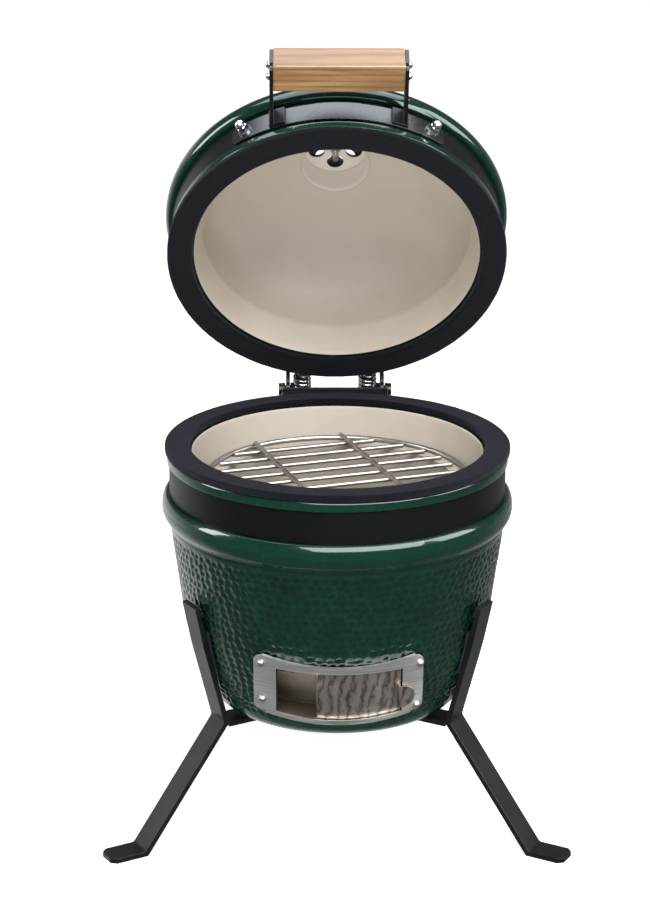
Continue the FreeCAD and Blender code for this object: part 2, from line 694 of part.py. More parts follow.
def hinge_lid_bracket():
    """Saddle on the lid's band with two arms down to the pivots; the arms carry a spring pin."""
    arm = [("155", "45.5"), ("155", "19.5"), ("166", "19.5"), ("pivot_y - 7", "pivot_z + 3"), Bulge("7.7", -1),
           ("pivot_y", "pivot_z - 7"), Bulge("7", -1), ("pivot_y + 7", "pivot_z"),
           ("upper_pin_y + 9", "upper_pin_z + 6"), ("upper_pin_y + 1", "45.5")]
    return bracket("hinge_lid_bracket", ("19", "46"), arm, "arm_outer", "arm_depth",
                   [("pivot_y", "pivot_z", "pivot_hole"), ("upper_pin_y", "upper_pin_z", "pin_hole")],
                   [], LID)


def bracket_fasteners(label, stem_label, bracket_label, frame):
    """Band bolts with flush inner heads and hexagon nuts outside the saddle."""
    nuts = []
    bolts = []
    for azimuth, level in BRACKET_BOLTS[bracket_label]:
        bolts.append(solid("Cylinder", stem_label + "_stem", radial_frame(azimuth, "band_inner - 0.1", level),
                           Radius=3, Height=11))
        blank = solid("Prism", label + "_hex", radial_frame(azimuth, "saddle_outer + 0.1", level),
                      Polygon=6, Circumradius=5.8, Height=5)
        bore = solid("Cylinder", label + "_bore", radial_frame(azimuth, "saddle_outer - 1", level),
                     Radius=3.02, Height=9)
        nuts.append(joined("Cut", label + "_nut", (blank, bore)))
    keep(joined("Compound", stem_label, bolts, frame))
    keep(joined("Compound", label, nuts, frame))


def pivot_bolts():
    """Short bolts on the hinge line, one each side, through an ear and an arm."""
    bolts = []
    nuts = []
    for side in (-1, 1):
        turn = "placement(vector(0; pivot_y ; pivot_z ); rotation(vector(0; 1; 0); %d ))" % (90 * side)
        shank = solid("Cylinder", "pivot_shank", turn + " * " + at("0", "0", "arm_outer - arm_depth - 5.6"),
                      Radius="pivot_bolt", Height="ear_outer - arm_outer + arm_depth + 6")
        head = solid("Cylinder", "pivot_head", turn + " * " + at("0", "0", "ear_outer + 0.2"),
                     Radius=6.2, Height=3.2)
        bolts.append(joined("MultiFuse", "pivot_bolt_one", [shank, head]))
        blank = solid("Prism", "pivot_nut_hex", turn + " * " + at("0", "0", "arm_outer - arm_depth - 4.6"),
                      Polygon=6, Circumradius=7, Height=4.2)
        bore = solid("Cylinder", "pivot_nut_bore", turn + " * " + at("0", "0", "30"), Radius=4.02, Height=30)
        nuts.append(joined("Cut", "pivot_nut", (blank, bore)))
    keep(joined("Compound", "hinge_pivot_bolts", bolts, BASE))
    keep(joined("Compound", "hinge_pivot_nuts", nuts, BASE))


def spring_pins():
    for label, y, z, half, frame in (("spring_pin_lower", "lower_pin_y", "lower_pin_z", "ear_outer", BASE),
                                     ("spring_pin_upper", "upper_pin_y", "upper_pin_z", "arm_outer", LID)):
        rod = solid("Cylinder", label + "_rod", across("- " + half + " + 0.4", y, z),
                    Radius="pin_radius", Height="2 * " + half + " - 0.8")
        keep(joined("Compound", label, [rod], frame))


def spring(label, side):
    """Extension spring between the two pins in the open pose: coil, bridges and end rings."""
    angle = math.radians(D("lid_open"))
    y = D("upper_pin_y") - D("pivot_y")
    z = D("upper_pin_z") - D("pivot_z")
    top = Vector(0, D("pivot_y") + y * math.cos(angle) + z * math.sin(angle),
                 D("pivot_z") - y * math.sin(angle) + z * math.cos(angle))
    foot = Vector(0, D("lower_pin_y"), D("lower_pin_z"))
    run = top - foot
    lean = math.degrees(math.atan2(-run.y, run.z))
    coil = new_body(label + "_coil", names(at("0", "0", "0")))
    sketch = sketch_on(coil, "XZ_Plane", label + "_wire")
    edge = sketch.addGeometry(Part.Circle(Vector(D("coil_radius"), 10, 0), Vector(0, 0, 1), D("coil_wire")))
    sketch.addConstraint(Sketcher.Constraint("Radius", edge, D("coil_wire")))
    sketch.setExpression("Constraints[0]", "Dims.coil_wire")
    pin_point(sketch, edge, 3, "coil_radius", "10")
    helix = coil.newObject("PartDesign::AdditiveHelix", label + "_helix")
    helix.Profile = sketch
    helix.ReferenceAxis = (sketch, ["V_Axis"])
    helix.Mode = 0
    bind(helix, Pitch="coil_pitch")
    turns = math.floor((run.Length - 20) / D("coil_pitch"))
    helix.Height = turns * D("coil_pitch")
    last = 10 + turns * D("coil_pitch")
    ends = []
    for anchor, height in ((0, 10), (run.Length, last)):
        toward = 1 if anchor == 0 else -1
        ends.append(solid("Torus", label + "_ring", across("0", "0", "%.4f" % anchor),
                          Radius1="pin_radius + 2.2", Radius2="coil_wire"))
        low = anchor + toward * 5.2 if toward > 0 else height
        reach = abs(height - (anchor + toward * 5.2))
        ends.append(solid("Cylinder", label + "_neck", at("0", "0", "%.4f" % low),
                          Radius="coil_wire", Height="%.4f" % reach))
        ends.append(solid("Sphere", label + "_elbow", at("0", "0", height), Radius="coil_wire"))
        ends.append(solid("Cylinder", label + "_bridge", across("0", "0", height),
                          Radius="coil_wire", Height="coil_radius"))
    whole = joined("MultiFuse", label + "_whole", [coil] + ends)
    lift = names(" * placement(vector( %d * spring_x ; lower_pin_y ; lower_pin_z );" % side)
    lift += " rotation(vector(1; 0; 0); %.4f))" % lean
    return keep(joined("Compound", label, [whole], BASE + lift))


# ---- lid -------------------------------------------------------------------------------------

def sphere_point(radius, at_radius):
    return "sqrt( %s ^ 2 - %s ^ 2 ) - dome_drop" % (radius, at_radius)


def lid_shell():
    """The ceramic dome: rim, groove, bead, cap of a sphere and chimney neck."""
    body = new_body("lid_shell", LID)
    above = [("150", sphere_point("dome_radius", "150")), Bulge("dome_radius", -1),
             ("neck_radius + 3", sphere_point("dome_radius", "( neck_radius + 3 )")),
             ("neck_radius", sphere_point("dome_radius", "neck_radius") + " + 3"), ("neck_radius", "neck_top"),
             ("chimney_radius", "neck_top"), ("chimney_radius", sphere_point("dome_inside", "chimney_radius")),
             Bulge("dome_inside", 1), ("126", sphere_point("dome_inside", "126")), Bulge("60", 1),
             ("131", "40")]
    revolve(body, rim_outline("", ("152.5", "73.5"), above))
    doc.recompute()
    frame = thermometer_frame("- 60")
    hole = solid("Cylinder", "probe_hole", frame, Radius="probe_radius + 1", Height=90)
    body_drilled = joined("Cut", "lid_shell_drilled", (body_without_frame(body), hole))
    return keep(joined("Compound", "lid_shell", [body_drilled], LID))


def body_without_frame(body):
    """Use a body inside a boolean: its place is given to the boolean instead."""
    body.setExpression("Placement", None)
    body.Placement = Placement()
    body.Label = body.Name + "_turned_blank"
    return body


def lid_gasket():
    return keep(ring("lid_gasket", LID, "gasket_inner", "gasket_outer", "felt_gap", "gasket_depth",
                     rounding=1.2))


def lid_band():
    places = BRACKET_BOLTS["hinge_lid_bracket"] + clamp_places()
    return drilled_band("lid_band", LID, "band_low", "band_high", 180, places)


# ---- handle ------------------------------------------------------------------------------------

def clamp_places():
    return [(side * D("clamp_azimuth"), "clamp_level") for side in (-1, 1)]


def handle_plate():
    """Curved plate over the band's joint, with rounded ends and two bolt holes."""
    blank = doc.addObject("PartDesign::Body", "handle_blank")
    revolve(blank, [("plate_inner", "plate_low"), ("plate_outer", "plate_low"), ("plate_outer", "plate_high"),
                    ("plate_inner", "plate_high")], "2 * plate_half")
    blank.setExpression("Placement", "placement(vector(0; 0; 0); rotation(vector(0; 0; 1); -90))")

    def end_corner(edge):
        return abs(edge.Length - (D("plate_outer") - D("plate_inner"))) < 0.05
    round_edges(blank, end_corner, "4.5")
    drills = [solid("Cylinder", "clamp_drill", radial_frame(azimuth, "150", level), Radius=3.1, Height=30)
              for azimuth, level in clamp_places()]
    drilled = joined("Cut", "handle_plate_drilled", (blank, joined("Compound", "clamp_drills", drills)))
    return keep(joined("Compound", "handle_plate", [drilled], LID))


def clamp_fasteners():
    """Band clamp: studs with flush inner heads, washers and dome nuts."""
    studs = []
    nuts = []
    washers = []
    for azimuth, level in clamp_places():
        def stand(radius):
            return radial_frame(azimuth, radius, level)
        studs.append(solid("Cylinder", "clamp_stud", stand("band_inner - 0.1"), Radius=2.95, Height=12))
        disc = solid("Cylinder", "clamp_washer_disc", stand("plate_outer + 0.1"), Radius=7, Height=1.3)
        eye = solid("Cylinder", "clamp_washer_eye", stand("plate_outer - 1"), Radius=3.1, Height=4)
        washers.append(joined("Cut", "clamp_washer", (disc, eye)))
        hexagon = solid("Prism", "clamp_hex", stand("plate_outer + 1.5"), Polygon=6, Circumradius=5.8,
                        Height=5)
        barrel = solid("Cylinder", "clamp_barrel", stand("plate_outer + 1.5"), Radius=4.7, Height=7)
        dome = solid("Sphere", "clamp_dome", stand("plate_outer + 8.5"), Radius=4.7, Angle1=0, Angle2=90)
        solid_nut = joined("MultiFuse", "clamp_nut_solid", [hexagon, barrel, dome])
        bore = solid("Cylinder", "clamp_bore", stand("plate_outer + 1"), Radius=3, Height=7)
        nuts.append(joined("Cut", "clamp_nut", (solid_nut, bore)))
    keep(joined("Compound", "clamp_bolts", studs, LID))
    keep(joined("Compound", "clamp_washers", washers, LID))
    keep(joined("Compound", "clamp_nuts", nuts, LID))


def arm_point(along, up):
    """A point in the handle's side view: along the rising arm and square to it."""
    cosine = "cos( arm_rise * 1 deg )"
    sine = "sin( arm_rise * 1 deg )"
    return ("- 152 - ( %s ) * %s + ( %s ) * %s" % (along, cosine, up, sine),
            "22 + ( %s ) * %s + ( %s ) * %s" % (along, sine, up, cosine))


def handle_bracket(label, side):
    """A flat arm beside the grip with a foot bent inwards onto the handle plate."""
    body = doc.addObject("PartDesign::Body", label + "_arm")
    pad(body, "YZ_Plane", [("- 151.6", "plate_low + 0.5"), arm_point("arm_length - 5", "0"), Bulge("5", -1),
                           arm_point("arm_length", "5"), arm_point("arm_length", "grip_tall - 5"),
                           Bulge("5", -1), arm_point("arm_length - 5", "grip_tall"),
                           arm_point("arm_length - grip_depth + 2", "grip_tall"),
                           ("- 151.6", "plate_high")], "bracket_depth")
    body.setExpression("Placement", names(at("%d * ( bracket_x + bracket_depth / 2 )" % side, "0", "0")))
    foot = doc.addObject("PartDesign::Body", label + "_foot")
    revolve(foot, [("plate_outer + 0.1", "plate_low + 0.5"), ("plate_outer + 3", "plate_low + 0.5"),
                   ("plate_outer + 3", "plate_high"), ("plate_outer + 0.1", "plate_high")], 5.4)
    foot.setExpression("Placement", "placement(vector(0; 0; 0); rotation(vector(0; 0; 1); %.2f))"
                       % (side * 20.4 - 90))
    drills = []
    for along in (9.5, 22.5):
        y, z = arm_point("arm_length - %s" % along, "grip_tall / 2")
        drills.append(solid("Cylinder", label + "_drill", across("- 90", y, z), Radius=2.1, Height=180))
    plug = solid("Cylinder", label + "_relief", at("0", "0", "plate_low - 1"), Radius="plate_outer + 0.1",
                 Height=30)
    welded = joined("MultiFuse", label + "_welded", [body, foot])
    drilled = joined("Cut", label + "_drilled",
                     (welded, joined("MultiFuse", label + "_tools", drills + [plug])))
    return keep(joined("Compound", label, [drilled], LID))


def handle_grip():
    """Wooden bar of square section with eased edges, bored for the end screws."""
    body = doc.addObject("PartDesign::Body", "grip_blank")
    inner = "arm_length - grip_depth"
    pad(body, "YZ_Plane", [arm_point(inner, "0.3"), arm_point("arm_length", "0.3"),
                           arm_point("arm_length", "grip_tall - 0.3"), arm_point(inner, "grip_tall - 0.3")],
        "2 * bracket_x - 0.1")

    def long_edge(edge):
        return edge.Length > 2 * D("bracket_x") - 1
    round_edges(body, long_edge, "3", "PartDesign::Chamfer")
    drills = []
    for along in (9.5, 22.5):
        for side in (-1, 1):
            y, z = arm_point("arm_length - %s" % along, "grip_tall / 2")
            start = "bracket_x - 20" if side > 0 else "- bracket_x - 1"
            drills.append(solid("Cylinder", "grip_bore", across(start, y, z), Radius=1.6, Height=21))
    drilled = joined("Cut", "grip_bored", (body, joined("Compound", "grip_bores", drills)))
    return keep(joined("Compound", "handle_grip", [drilled], LID))


def handle_screws():
    screws = []
    for along in (9.5, 22.5):
        for side in (-1, 1):
            y, z = arm_point("arm_length - %s" % along, "grip_tall / 2")
            face = "placement(vector( %d * ( bracket_x + bracket_depth + 0.1 ) ; %s ; %s );" % (side, y, z)
            face += " rotation(vector(0; 1; 0); %d ))" % (90 * side)
            dome = solid("Sphere", "grip_screw_head", face, Radius=3.7, Angle1=0, Angle2=90)
            stem = solid("Cylinder", "grip_screw_stem", face + " * " + at("0", "0", "- 18"),
                         Radius=1.55, Height=18.5)
            screws.append(joined("MultiFuse", "grip_screw", [dome, stem]))
    return keep(joined("Compound", "handle_screws", screws, LID))


# ---- chimney damper -----------------------------------------------------------------------------

def petals(name, low, height, turn):
    """Five round openings on a circle."""
    holes = []
    for index in range(5):
        angle = math.radians(72 * index + turn)
        centre = at(D("petal_circle") * math.cos(angle), D("petal_circle") * math.sin(angle), low)
        holes.append(solid("Cylinder", name, centre, Radius="petal_radius", Height=height))
    return holes


def vent_base():
    """Cap over the chimney neck, with five openings and a centre hole."""
    cap = solid("Cylinder", "vent_cap", at("0", "0", "neck_top - 7"), Radius="damper_radius", Height=11.2)
    bore = solid("Cylinder", "vent_cap_bore", at("0", "0", "neck_top - 8"), Radius="neck_radius + 0.6",
                 Height=8.2)
    eye = solid("Cylinder", "vent_cap_eye", at("0", "0", "neck_top - 8"), Radius=3.05, Height=30)
    tools = joined("MultiFuse", "vent_cap_tools", [bore, eye] + petals("vent_cap_petal", "neck_top", 12, 90))
    return keep(joined("Compound", "vent_base", [joined("Cut", "vent_cap_cut", (cap, tools))], LID))


def vent_wheel():
    """Turning disc with five openings, an upturned tab and a centre hole; closed as stored."""
    disc = solid("Cylinder", "wheel_disc", at("0", "0", "neck_top + 4.6"), Radius="damper_radius - 1", Height=3.4)
    tab = solid("Box", "wheel_tab", at("- 8", "- damper_radius + 1.5", "neck_top + 4.6"),
                Length=16, Width=3, Height=13)
    eye = solid("Cylinder", "wheel_eye", at("0", "0", "neck_top"), Radius=3.05, Height=30)
    tools = joined("MultiFuse", "wheel_tools", [eye] + petals("wheel_petal", "neck_top + 2", 12, 90 + 36))
    whole = joined("MultiFuse", "wheel_blank", [disc, tab])
    return keep(joined("Compound", "vent_wheel", [joined("Cut", "wheel_cut", (whole, tools))], LID))


def vent_bolt():
    """Centre bolt of the damper, hanging below its nut, and the nut."""
    shank = solid("Cylinder", "vent_shank", at("0", "0", "neck_top - 19"), Radius=3, Height=28)
    head = solid("Cone", "vent_head", at("0", "0", "neck_top + 8.4"), Radius1=7.5, Radius2=5, Height=3.4)
    keep(joined("MultiFuse", "vent_bolt", [shank, head], LID))
    blank = solid("Prism", "vent_nut_hex", at("0", "0", "neck_top - 5.2"), Polygon=6, Circumradius=5.8, Height=5)
    bore = solid("Cylinder", "vent_nut_bore", at("0", "0", "neck_top - 8"), Radius=3.02, Height=12)
    keep(joined("Compound", "vent_nut", [joined("Cut", "vent_nut_cut", (blank, bore))], LID))


# ---- thermometer --------------------------------------------------------------------------------

def thermometer_frame(out):
    """Local +Z stands square on the front of the dome; out is measured from its surface."""
    return ("placement(vector(0; 0; - dome_drop ); rotation(vector(1; 0; 0); 90 - dial_tilt ))"
            " * " + at("0", "0", "dome_radius + ( %s )" % out))


def thermometer():
    """Dial case with its probe, dial, needle, glass and the nut inside the dome."""
    def disc(name, out, radius, height):
        return solid("Cylinder", name, thermometer_frame(out), Radius=radius, Height=height)
    shell = disc("dial_shell", "3", "dial_radius", 11)
    hollow = disc("dial_hollow", "5", "dial_radius - 2.2", 12)
    cup = joined("Cut", "dial_cup", (shell, hollow))
    collar = disc("dial_collar", "1.8", "10", 1.4)
    probe = disc("dial_probe", "- 48", "probe_radius", 51)
    keep(joined("MultiFuse", "thermometer_case", [cup, collar, probe], LID))
    face = disc("dial_face", "5.2", "dial_radius - 2.6", 1.2)
    staff_hole = disc("dial_staff_hole", "4", "1.05", 5)
    keep(joined("Compound", "thermometer_dial", [joined("Cut", "dial_face_cut", (face, staff_hole))], LID))
    staff = disc("needle_staff", "5.4", "1", 3.4)
    hub = disc("needle_hub", "7.4", "3", 1.2)
    cold = " * placement(vector(0; 0; 0); rotation(vector(0; 0; 1); 130)) * "
    pointer = solid("Box", "needle_pointer", thermometer_frame("7.6") + cold + at("- 0.7", "- 4", "0"),
                    Length=1.4, Width=20, Height=0.8)
    keep(joined("MultiFuse", "thermometer_needle", [staff, hub, pointer], LID))
    keep(joined("Compound", "thermometer_glass", [disc("dial_glass", "11.4", "dial_radius - 2.4", 1.6)], LID))
    hexagon = solid("Prism", "probe_hex", thermometer_frame("- 25.5"), Polygon=6, Circumradius=9, Height=5)
    thread = disc("probe_thread", "- 27", "probe_radius + 0.05", 10)
    keep(joined("Compound", "thermometer_nut", [joined("Cut", "probe_nut_cut", (hexagon, thread))], LID))


def build():
    stand_hub()
    for label, azimuth in LEG_AZIMUTHS.items():
        leg(label, azimuth)
    support_pads()
    strap_pads()
    base_shell()
    base_gasket()
    base_band()
    fire_bowl()
    fire_grate()
    cooking_grate()
    draft_frame()
    draft_frame_screws()
    draft_door()
    hinge_base_bracket()
    bracket_fasteners("base_bracket_nuts", "base_bracket_bolts", "hinge_base_bracket", BASE)
    pivot_bolts()
    spring_pins()
    spring("spring_left", -1)
    spring("spring_right", 1)
    hinge_lid_bracket()
    bracket_fasteners("lid_bracket_nuts", "lid_bracket_bolts", "hinge_lid_bracket", LID)
    lid_shell()
    lid_gasket()
    lid_band()
    handle_plate()
    clamp_fasteners()
    handle_bracket("handle_bracket_left", -1)
    handle_bracket("handle_bracket_right", 1)
    handle_grip()
    handle_screws()
    vent_base()
    vent_wheel()
    vent_bolt()
    thermometer()


def export():
    """Check every object, then write each sub-part under its label."""
    doc.recompute()
    for thing in doc.Objects:
        if "Invalid" in thing.State or "Error" in thing.State:
            raise RuntimeError("%s (%s) is %s" % (thing.Name, thing.Label, thing.State))
    for thing in SUBPARTS:
        if thing.Shape.isNull() or not thing.Shape.isValid():
            raise RuntimeError(thing.Label + " has no valid shape")
    os.makedirs("parts", exist_ok=True)
    for thing in SUBPARTS:
        thing.Shape.exportStep(os.path.join("parts", thing.Label + ".step"))


build()
export()
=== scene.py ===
"""Looks of the ceramic charcoal grill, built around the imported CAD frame. Metres, row frame."""

import json
import math
import random

import bmesh
import bpy
import numpy as np
from mathutils import Matrix, Vector, kdtree


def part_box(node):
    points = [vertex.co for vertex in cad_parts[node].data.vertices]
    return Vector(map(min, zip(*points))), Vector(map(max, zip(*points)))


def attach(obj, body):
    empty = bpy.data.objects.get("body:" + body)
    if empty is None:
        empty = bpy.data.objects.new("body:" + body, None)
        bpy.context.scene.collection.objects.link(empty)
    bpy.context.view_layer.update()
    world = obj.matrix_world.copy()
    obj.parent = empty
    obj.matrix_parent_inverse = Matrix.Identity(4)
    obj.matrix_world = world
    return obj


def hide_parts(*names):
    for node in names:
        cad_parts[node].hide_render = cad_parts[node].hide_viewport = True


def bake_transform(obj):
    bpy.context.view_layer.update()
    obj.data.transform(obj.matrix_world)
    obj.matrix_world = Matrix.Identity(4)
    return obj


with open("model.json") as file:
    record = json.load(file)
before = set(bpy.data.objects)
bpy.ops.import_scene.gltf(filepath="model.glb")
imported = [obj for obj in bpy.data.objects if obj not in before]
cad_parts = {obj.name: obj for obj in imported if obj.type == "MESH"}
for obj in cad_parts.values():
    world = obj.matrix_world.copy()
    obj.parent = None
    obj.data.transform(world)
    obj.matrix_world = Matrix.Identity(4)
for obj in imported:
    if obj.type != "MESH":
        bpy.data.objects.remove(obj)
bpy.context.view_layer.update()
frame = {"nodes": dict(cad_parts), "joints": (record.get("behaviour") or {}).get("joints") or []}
MM = 0.001

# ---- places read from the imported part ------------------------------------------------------

hinge = next(j for j in frame["joints"] if j["name"] == "lid_hinge")
PIVOT = Vector(hinge["pos_m"])
OPEN = math.radians(-hinge["range_deg"][0])
base_low, base_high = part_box("base_gasket")
AXIS_Y = (base_low.y + base_high.y) / 2
RIM = base_high.z
PIVOT_Y = PIVOT.y - AXIS_Y
PIVOT_Z = PIVOT.z - RIM


def base_point(x, y, z):
    """A point given from the pot's axis and rim plane."""
    return Vector((x, AXIS_Y + y, RIM + z))


def lid_point(x, y, z):
    """A point given as for the closed lid, turned to the open lid of the row frame."""
    dy = y - PIVOT_Y
    dz = z - PIVOT_Z
    return Vector((x, PIVOT.y + dy * math.cos(OPEN) + dz * math.sin(OPEN),
                   PIVOT.z - dy * math.sin(OPEN) + dz * math.cos(OPEN)))


def lid_turn(direction):
    """A direction of the closed lid, turned to the open lid."""
    return lid_point(*direction) - lid_point(0, 0, 0)


# ---- small helpers ---------------------------------------------------------------------------

def add_object(name, mesh, smooth=True):
    thing = bpy.data.objects.new(name, mesh)
    bpy.context.scene.collection.objects.link(thing)
    if smooth:
        mesh.polygons.foreach_set("use_smooth", [True] * len(mesh.polygons))
    return thing


def mesh_from(name, points, faces):
    mesh = bpy.data.meshes.new(name)
    mesh.from_pydata([tuple(p) for p in points], [], [tuple(f) for f in faces])
    mesh.validate()
    mesh.update()
    return mesh


def sharp_by_angle(thing, degrees):
    """Mark edges sharper than an angle, so that smooth shading stops there."""
    made = bmesh.new()
    made.from_mesh(thing.data)
    for edge in made.edges:
        if len(edge.link_faces) == 2:
            edge.smooth = edge.calc_face_angle(0) < math.radians(degrees)
    made.to_mesh(thing.data)
    made.free()


class Shader:
    """A Principled material under construction."""

    def __init__(self, name, color, roughness, metallic=0.0):
        self.material = bpy.data.materials.new(name)
        self.material.use_nodes = True
        self.tree = self.material.node_tree
        self.main = self.tree.nodes["Principled BSDF"]
        self.material.diffuse_color = (*color, 1)
        self.set("Base Color", (*color, 1))
        self.set("Roughness", roughness)
        self.set("Metallic", metallic)
        self.coords = self.node("ShaderNodeTexCoord").outputs["Object"]

    def set(self, socket, value):
        self.main.inputs[socket].default_value = value
        return self

    def node(self, kind, **inputs):
        made = self.tree.nodes.new(kind)
        for key, value in inputs.items():
            made.inputs[key].default_value = value
        return made

    def link(self, source, target):
        self.tree.links.new(source, target)

    def scaled(self, scale):
        """Object coordinates with a scale of their own on each axis."""
        mapping = self.node("ShaderNodeMapping")
        mapping.inputs["Scale"].default_value = scale
        self.link(self.coords, mapping.inputs["Vector"])
        return mapping.outputs["Vector"]

    def noise(self, scale, detail=3.0, stretch=None, roughness=0.55, distortion=0.0):
        made = self.node("ShaderNodeTexNoise", Scale=scale, Detail=detail, Roughness=roughness,
                         Distortion=distortion)
        source = self.scaled(stretch) if stretch else self.coords
        self.link(source, made.inputs["Vector"])
        return made.outputs["Fac"]

    def cells(self, scale):
        made = self.node("ShaderNodeTexVoronoi", Scale=scale)
        self.link(self.coords, made.inputs["Vector"])
        return made.outputs["Distance"]

    def operate(self, kind, operation, output, *sources):
        """A maths node; a source is either an output to link or a value to set."""
        made = self.node(kind)
        made.operation = operation
        for place, source in zip(made.inputs, sources):
            if hasattr(source, "node"):
                self.link(source, place)
            else:
                place.default_value = source
        return made.outputs[output]

    def math(self, operation, *sources):
        return self.operate("ShaderNodeMath", operation, "Value", *sources)

    def vector(self, operation, output, *sources):
        return self.operate("ShaderNodeVectorMath", operation, output, *sources)

    def attribute(self, name):
        made = self.node("ShaderNodeAttribute")
        made.attribute_name = name
        return made.outputs["Fac"]

    def ramp(self, source, stops):
        made = self.node("ShaderNodeValToRGB")
        while len(made.color_ramp.elements) < len(stops):
            made.color_ramp.elements.new(0.5)
        for element, (place, color) in zip(made.color_ramp.elements, stops):
            element.position = place
            element.color = (*color, 1) if hasattr(color, "__len__") else (color, color, color, 1)
        self.link(source, made.inputs["Fac"])
        return made.outputs["Color"]

    def mix(self, factor, first, second, blend="MIX"):
        made = self.node("ShaderNodeMix")
        made.data_type = "RGBA"
        made.blend_type = blend
        for source, index in ((factor, 0), (first, 6), (second, 7)):
            if hasattr(source, "node"):
                self.link(source, made.inputs[index])
            elif index:
                made.inputs[index].default_value = (*source, 1)
            else:
                made.inputs[index].default_value = source
        return made.outputs[2]

    def color(self, source):
        self.link(source, self.main.inputs["Base Color"])
        return self

    def rough(self, source, low, high):
        """Roughness from a 0 to 1 pattern."""
        made = self.node("ShaderNodeMapRange")
        made.inputs["To Min"].default_value = low
        made.inputs["To Max"].default_value = high
        self.link(source, made.inputs["Value"])
        self.link(made.outputs["Result"], self.main.inputs["Roughness"])
        return self

    def bump(self, source, distance, strength=1.0, coat=False):
        """Relief from a pattern; each call lies on top of the one before."""
        made = self.node("ShaderNodeBump", Strength=strength, Distance=distance)
        self.link(source, made.inputs["Height"])
        if self.main.inputs["Normal"].is_linked:
            self.link(self.main.inputs["Normal"].links[0].from_socket, made.inputs["Normal"])
        self.link(made.outputs["Normal"], self.main.inputs["Normal"])
        if coat:
            self.link(made.outputs["Normal"], self.main.inputs["Coat Normal"])
        return self


# The chimney's bore: levels above the rim plane and radius about the lid's axis in metres, and the
# strength of its painted glow, which stands in for light falling into the bore.
BORE_START = 0.1325
CAP_UNDERSIDE = 0.1668
BORE_MASK_RADIUS = 0.0336
BORE_PAINTED_GLOW = 0.12


# ---- materials -------------------------------------------------------------------------------

def painted_bore_light_mask(s):
    """1 inside the chimney's bore, below the damper's outer faces, where light is painted in; 0 elsewhere."""
    way = lid_turn((0, 0, 1)).normalized()
    offset = s.vector("SUBTRACT", "Vector", s.coords, lid_point(0, 0, 0))
    level = s.vector("DOT_PRODUCT", "Value", offset, way)
    away = s.vector("LENGTH", "Value", s.vector("CROSS_PRODUCT", "Vector", offset, way))
    between = s.math("MULTIPLY", s.math("GREATER_THAN", level, BORE_START),
                     s.math("LESS_THAN", level, CAP_UNDERSIDE))
    return s.math("MULTIPLY", between, s.math("LESS_THAN", away, BORE_MASK_RADIUS))


def paint_bore_light(s, color):
    """Painted light in the bore: a paler colour and a faint glow, in place of the daylight that falls in
    through the damper.
    """
    mask = painted_bore_light_mask(s)
    # Painted light: the bore turns paler and glows faintly.
    s.color(s.mix(mask, color, (0.66, 0.625, 0.57)))
    s.link(s.math("MULTIPLY", mask, BORE_PAINTED_GLOW), s.main.inputs["Emission Strength"])
    s.set("Emission Color", (1.0, 0.93, 0.82, 1))


def glaze_material():
    """Dark green glaze: darker where it pools in the hollows, greener where it thins on edges."""
    s = Shader("green_glaze", (0.004, 0.045, 0.028), 0.22)
    relief = s.attribute("relief")
    body = s.ramp(relief, [(0.0, (0.0006, 0.0150, 0.0088)), (0.5, (0.0008, 0.0195, 0.0115)),
                           (1.0, (0.0014, 0.0270, 0.0165))])
    cloud = s.ramp(s.noise(26, 4), [(0.3, 0.78), (0.72, 1.25)])
    body = s.mix(1.0, body, cloud, "MULTIPLY")
    edges = s.attribute("thin_glaze")
    s.color(s.mix(edges, body, (0.0018, 0.038, 0.022)))
    s.set("Coat Weight", 1.0).set("Coat Roughness", 0.02).set("Coat IOR", 1.43)
    s.set("Specular IOR Level", 0.12)
    s.rough(s.noise(55, 2), 0.18, 0.34)
    s.bump(s.noise(150, 2), 0.00012, 0.5, coat=True)
    return s.material


def ceramic_material():
    """Cream unglazed inside, with faint clouds and specks, and painted light in the chimney's bore."""
    s = Shader("cream_ceramic", (0.62, 0.53, 0.42), 0.62)
    cloud = s.ramp(s.noise(9, 5), [(0.25, (0.53, 0.465, 0.385)), (0.55, (0.60, 0.535, 0.455)),
                                   (0.85, (0.65, 0.59, 0.51))])
    specks = s.ramp(s.cells(420), [(0.02, 0.55), (0.09, 1.0)])
    # The chimney's bore gets painted light: a paler colour and a faint glow.
    paint_bore_light(s, s.mix(0.35, cloud, s.mix(1.0, cloud, specks, "MULTIPLY")))
    s.set("Specular IOR Level", 0.35)
    s.rough(s.noise(40, 3), 0.5, 0.72)
    s.bump(s.noise(60, 4), 0.0006, 0.35)
    s.bump(s.noise(900, 2), 0.00012, 0.5)
    return s.material


def felt_material():
    """Black pressed felt with short fibres and a faint blue sheen."""
    s = Shader("black_felt", (0.012, 0.012, 0.017), 0.95)
    fibres = s.noise(1300, 3, distortion=1.6)
    s.color(s.ramp(fibres, [(0.3, (0.0020, 0.0020, 0.0026)), (0.55, (0.0046, 0.0046, 0.0062)),
                            (0.8, (0.018, 0.018, 0.026))]))
    s.set("Sheen Weight", 0.10).set("Sheen Roughness", 0.55).set("Sheen Tint", (0.65, 0.68, 0.9, 1))
    s.set("Specular IOR Level", 0.06)
    s.bump(s.noise(350, 4), 0.0006, 0.7)
    s.bump(fibres, 0.0004, 0.9)
    return s.material


def band_material():
    """Black painted steel strap with fine scratches along it."""
    s = Shader("band_black", (0.010, 0.0105, 0.011), 0.42)
    scratch = s.noise(160, 4, stretch=(0.15, 0.15, 9))
    s.color(s.ramp(scratch, [(0.35, (0.0022, 0.0026, 0.0025)), (0.75, (0.0045, 0.0052, 0.0050))]))
    s.rough(scratch, 0.30, 0.46)
    s.set("Specular IOR Level", 0.22)
    s.bump(s.noise(1400, 2), 0.00008, 0.5)
    return s.material


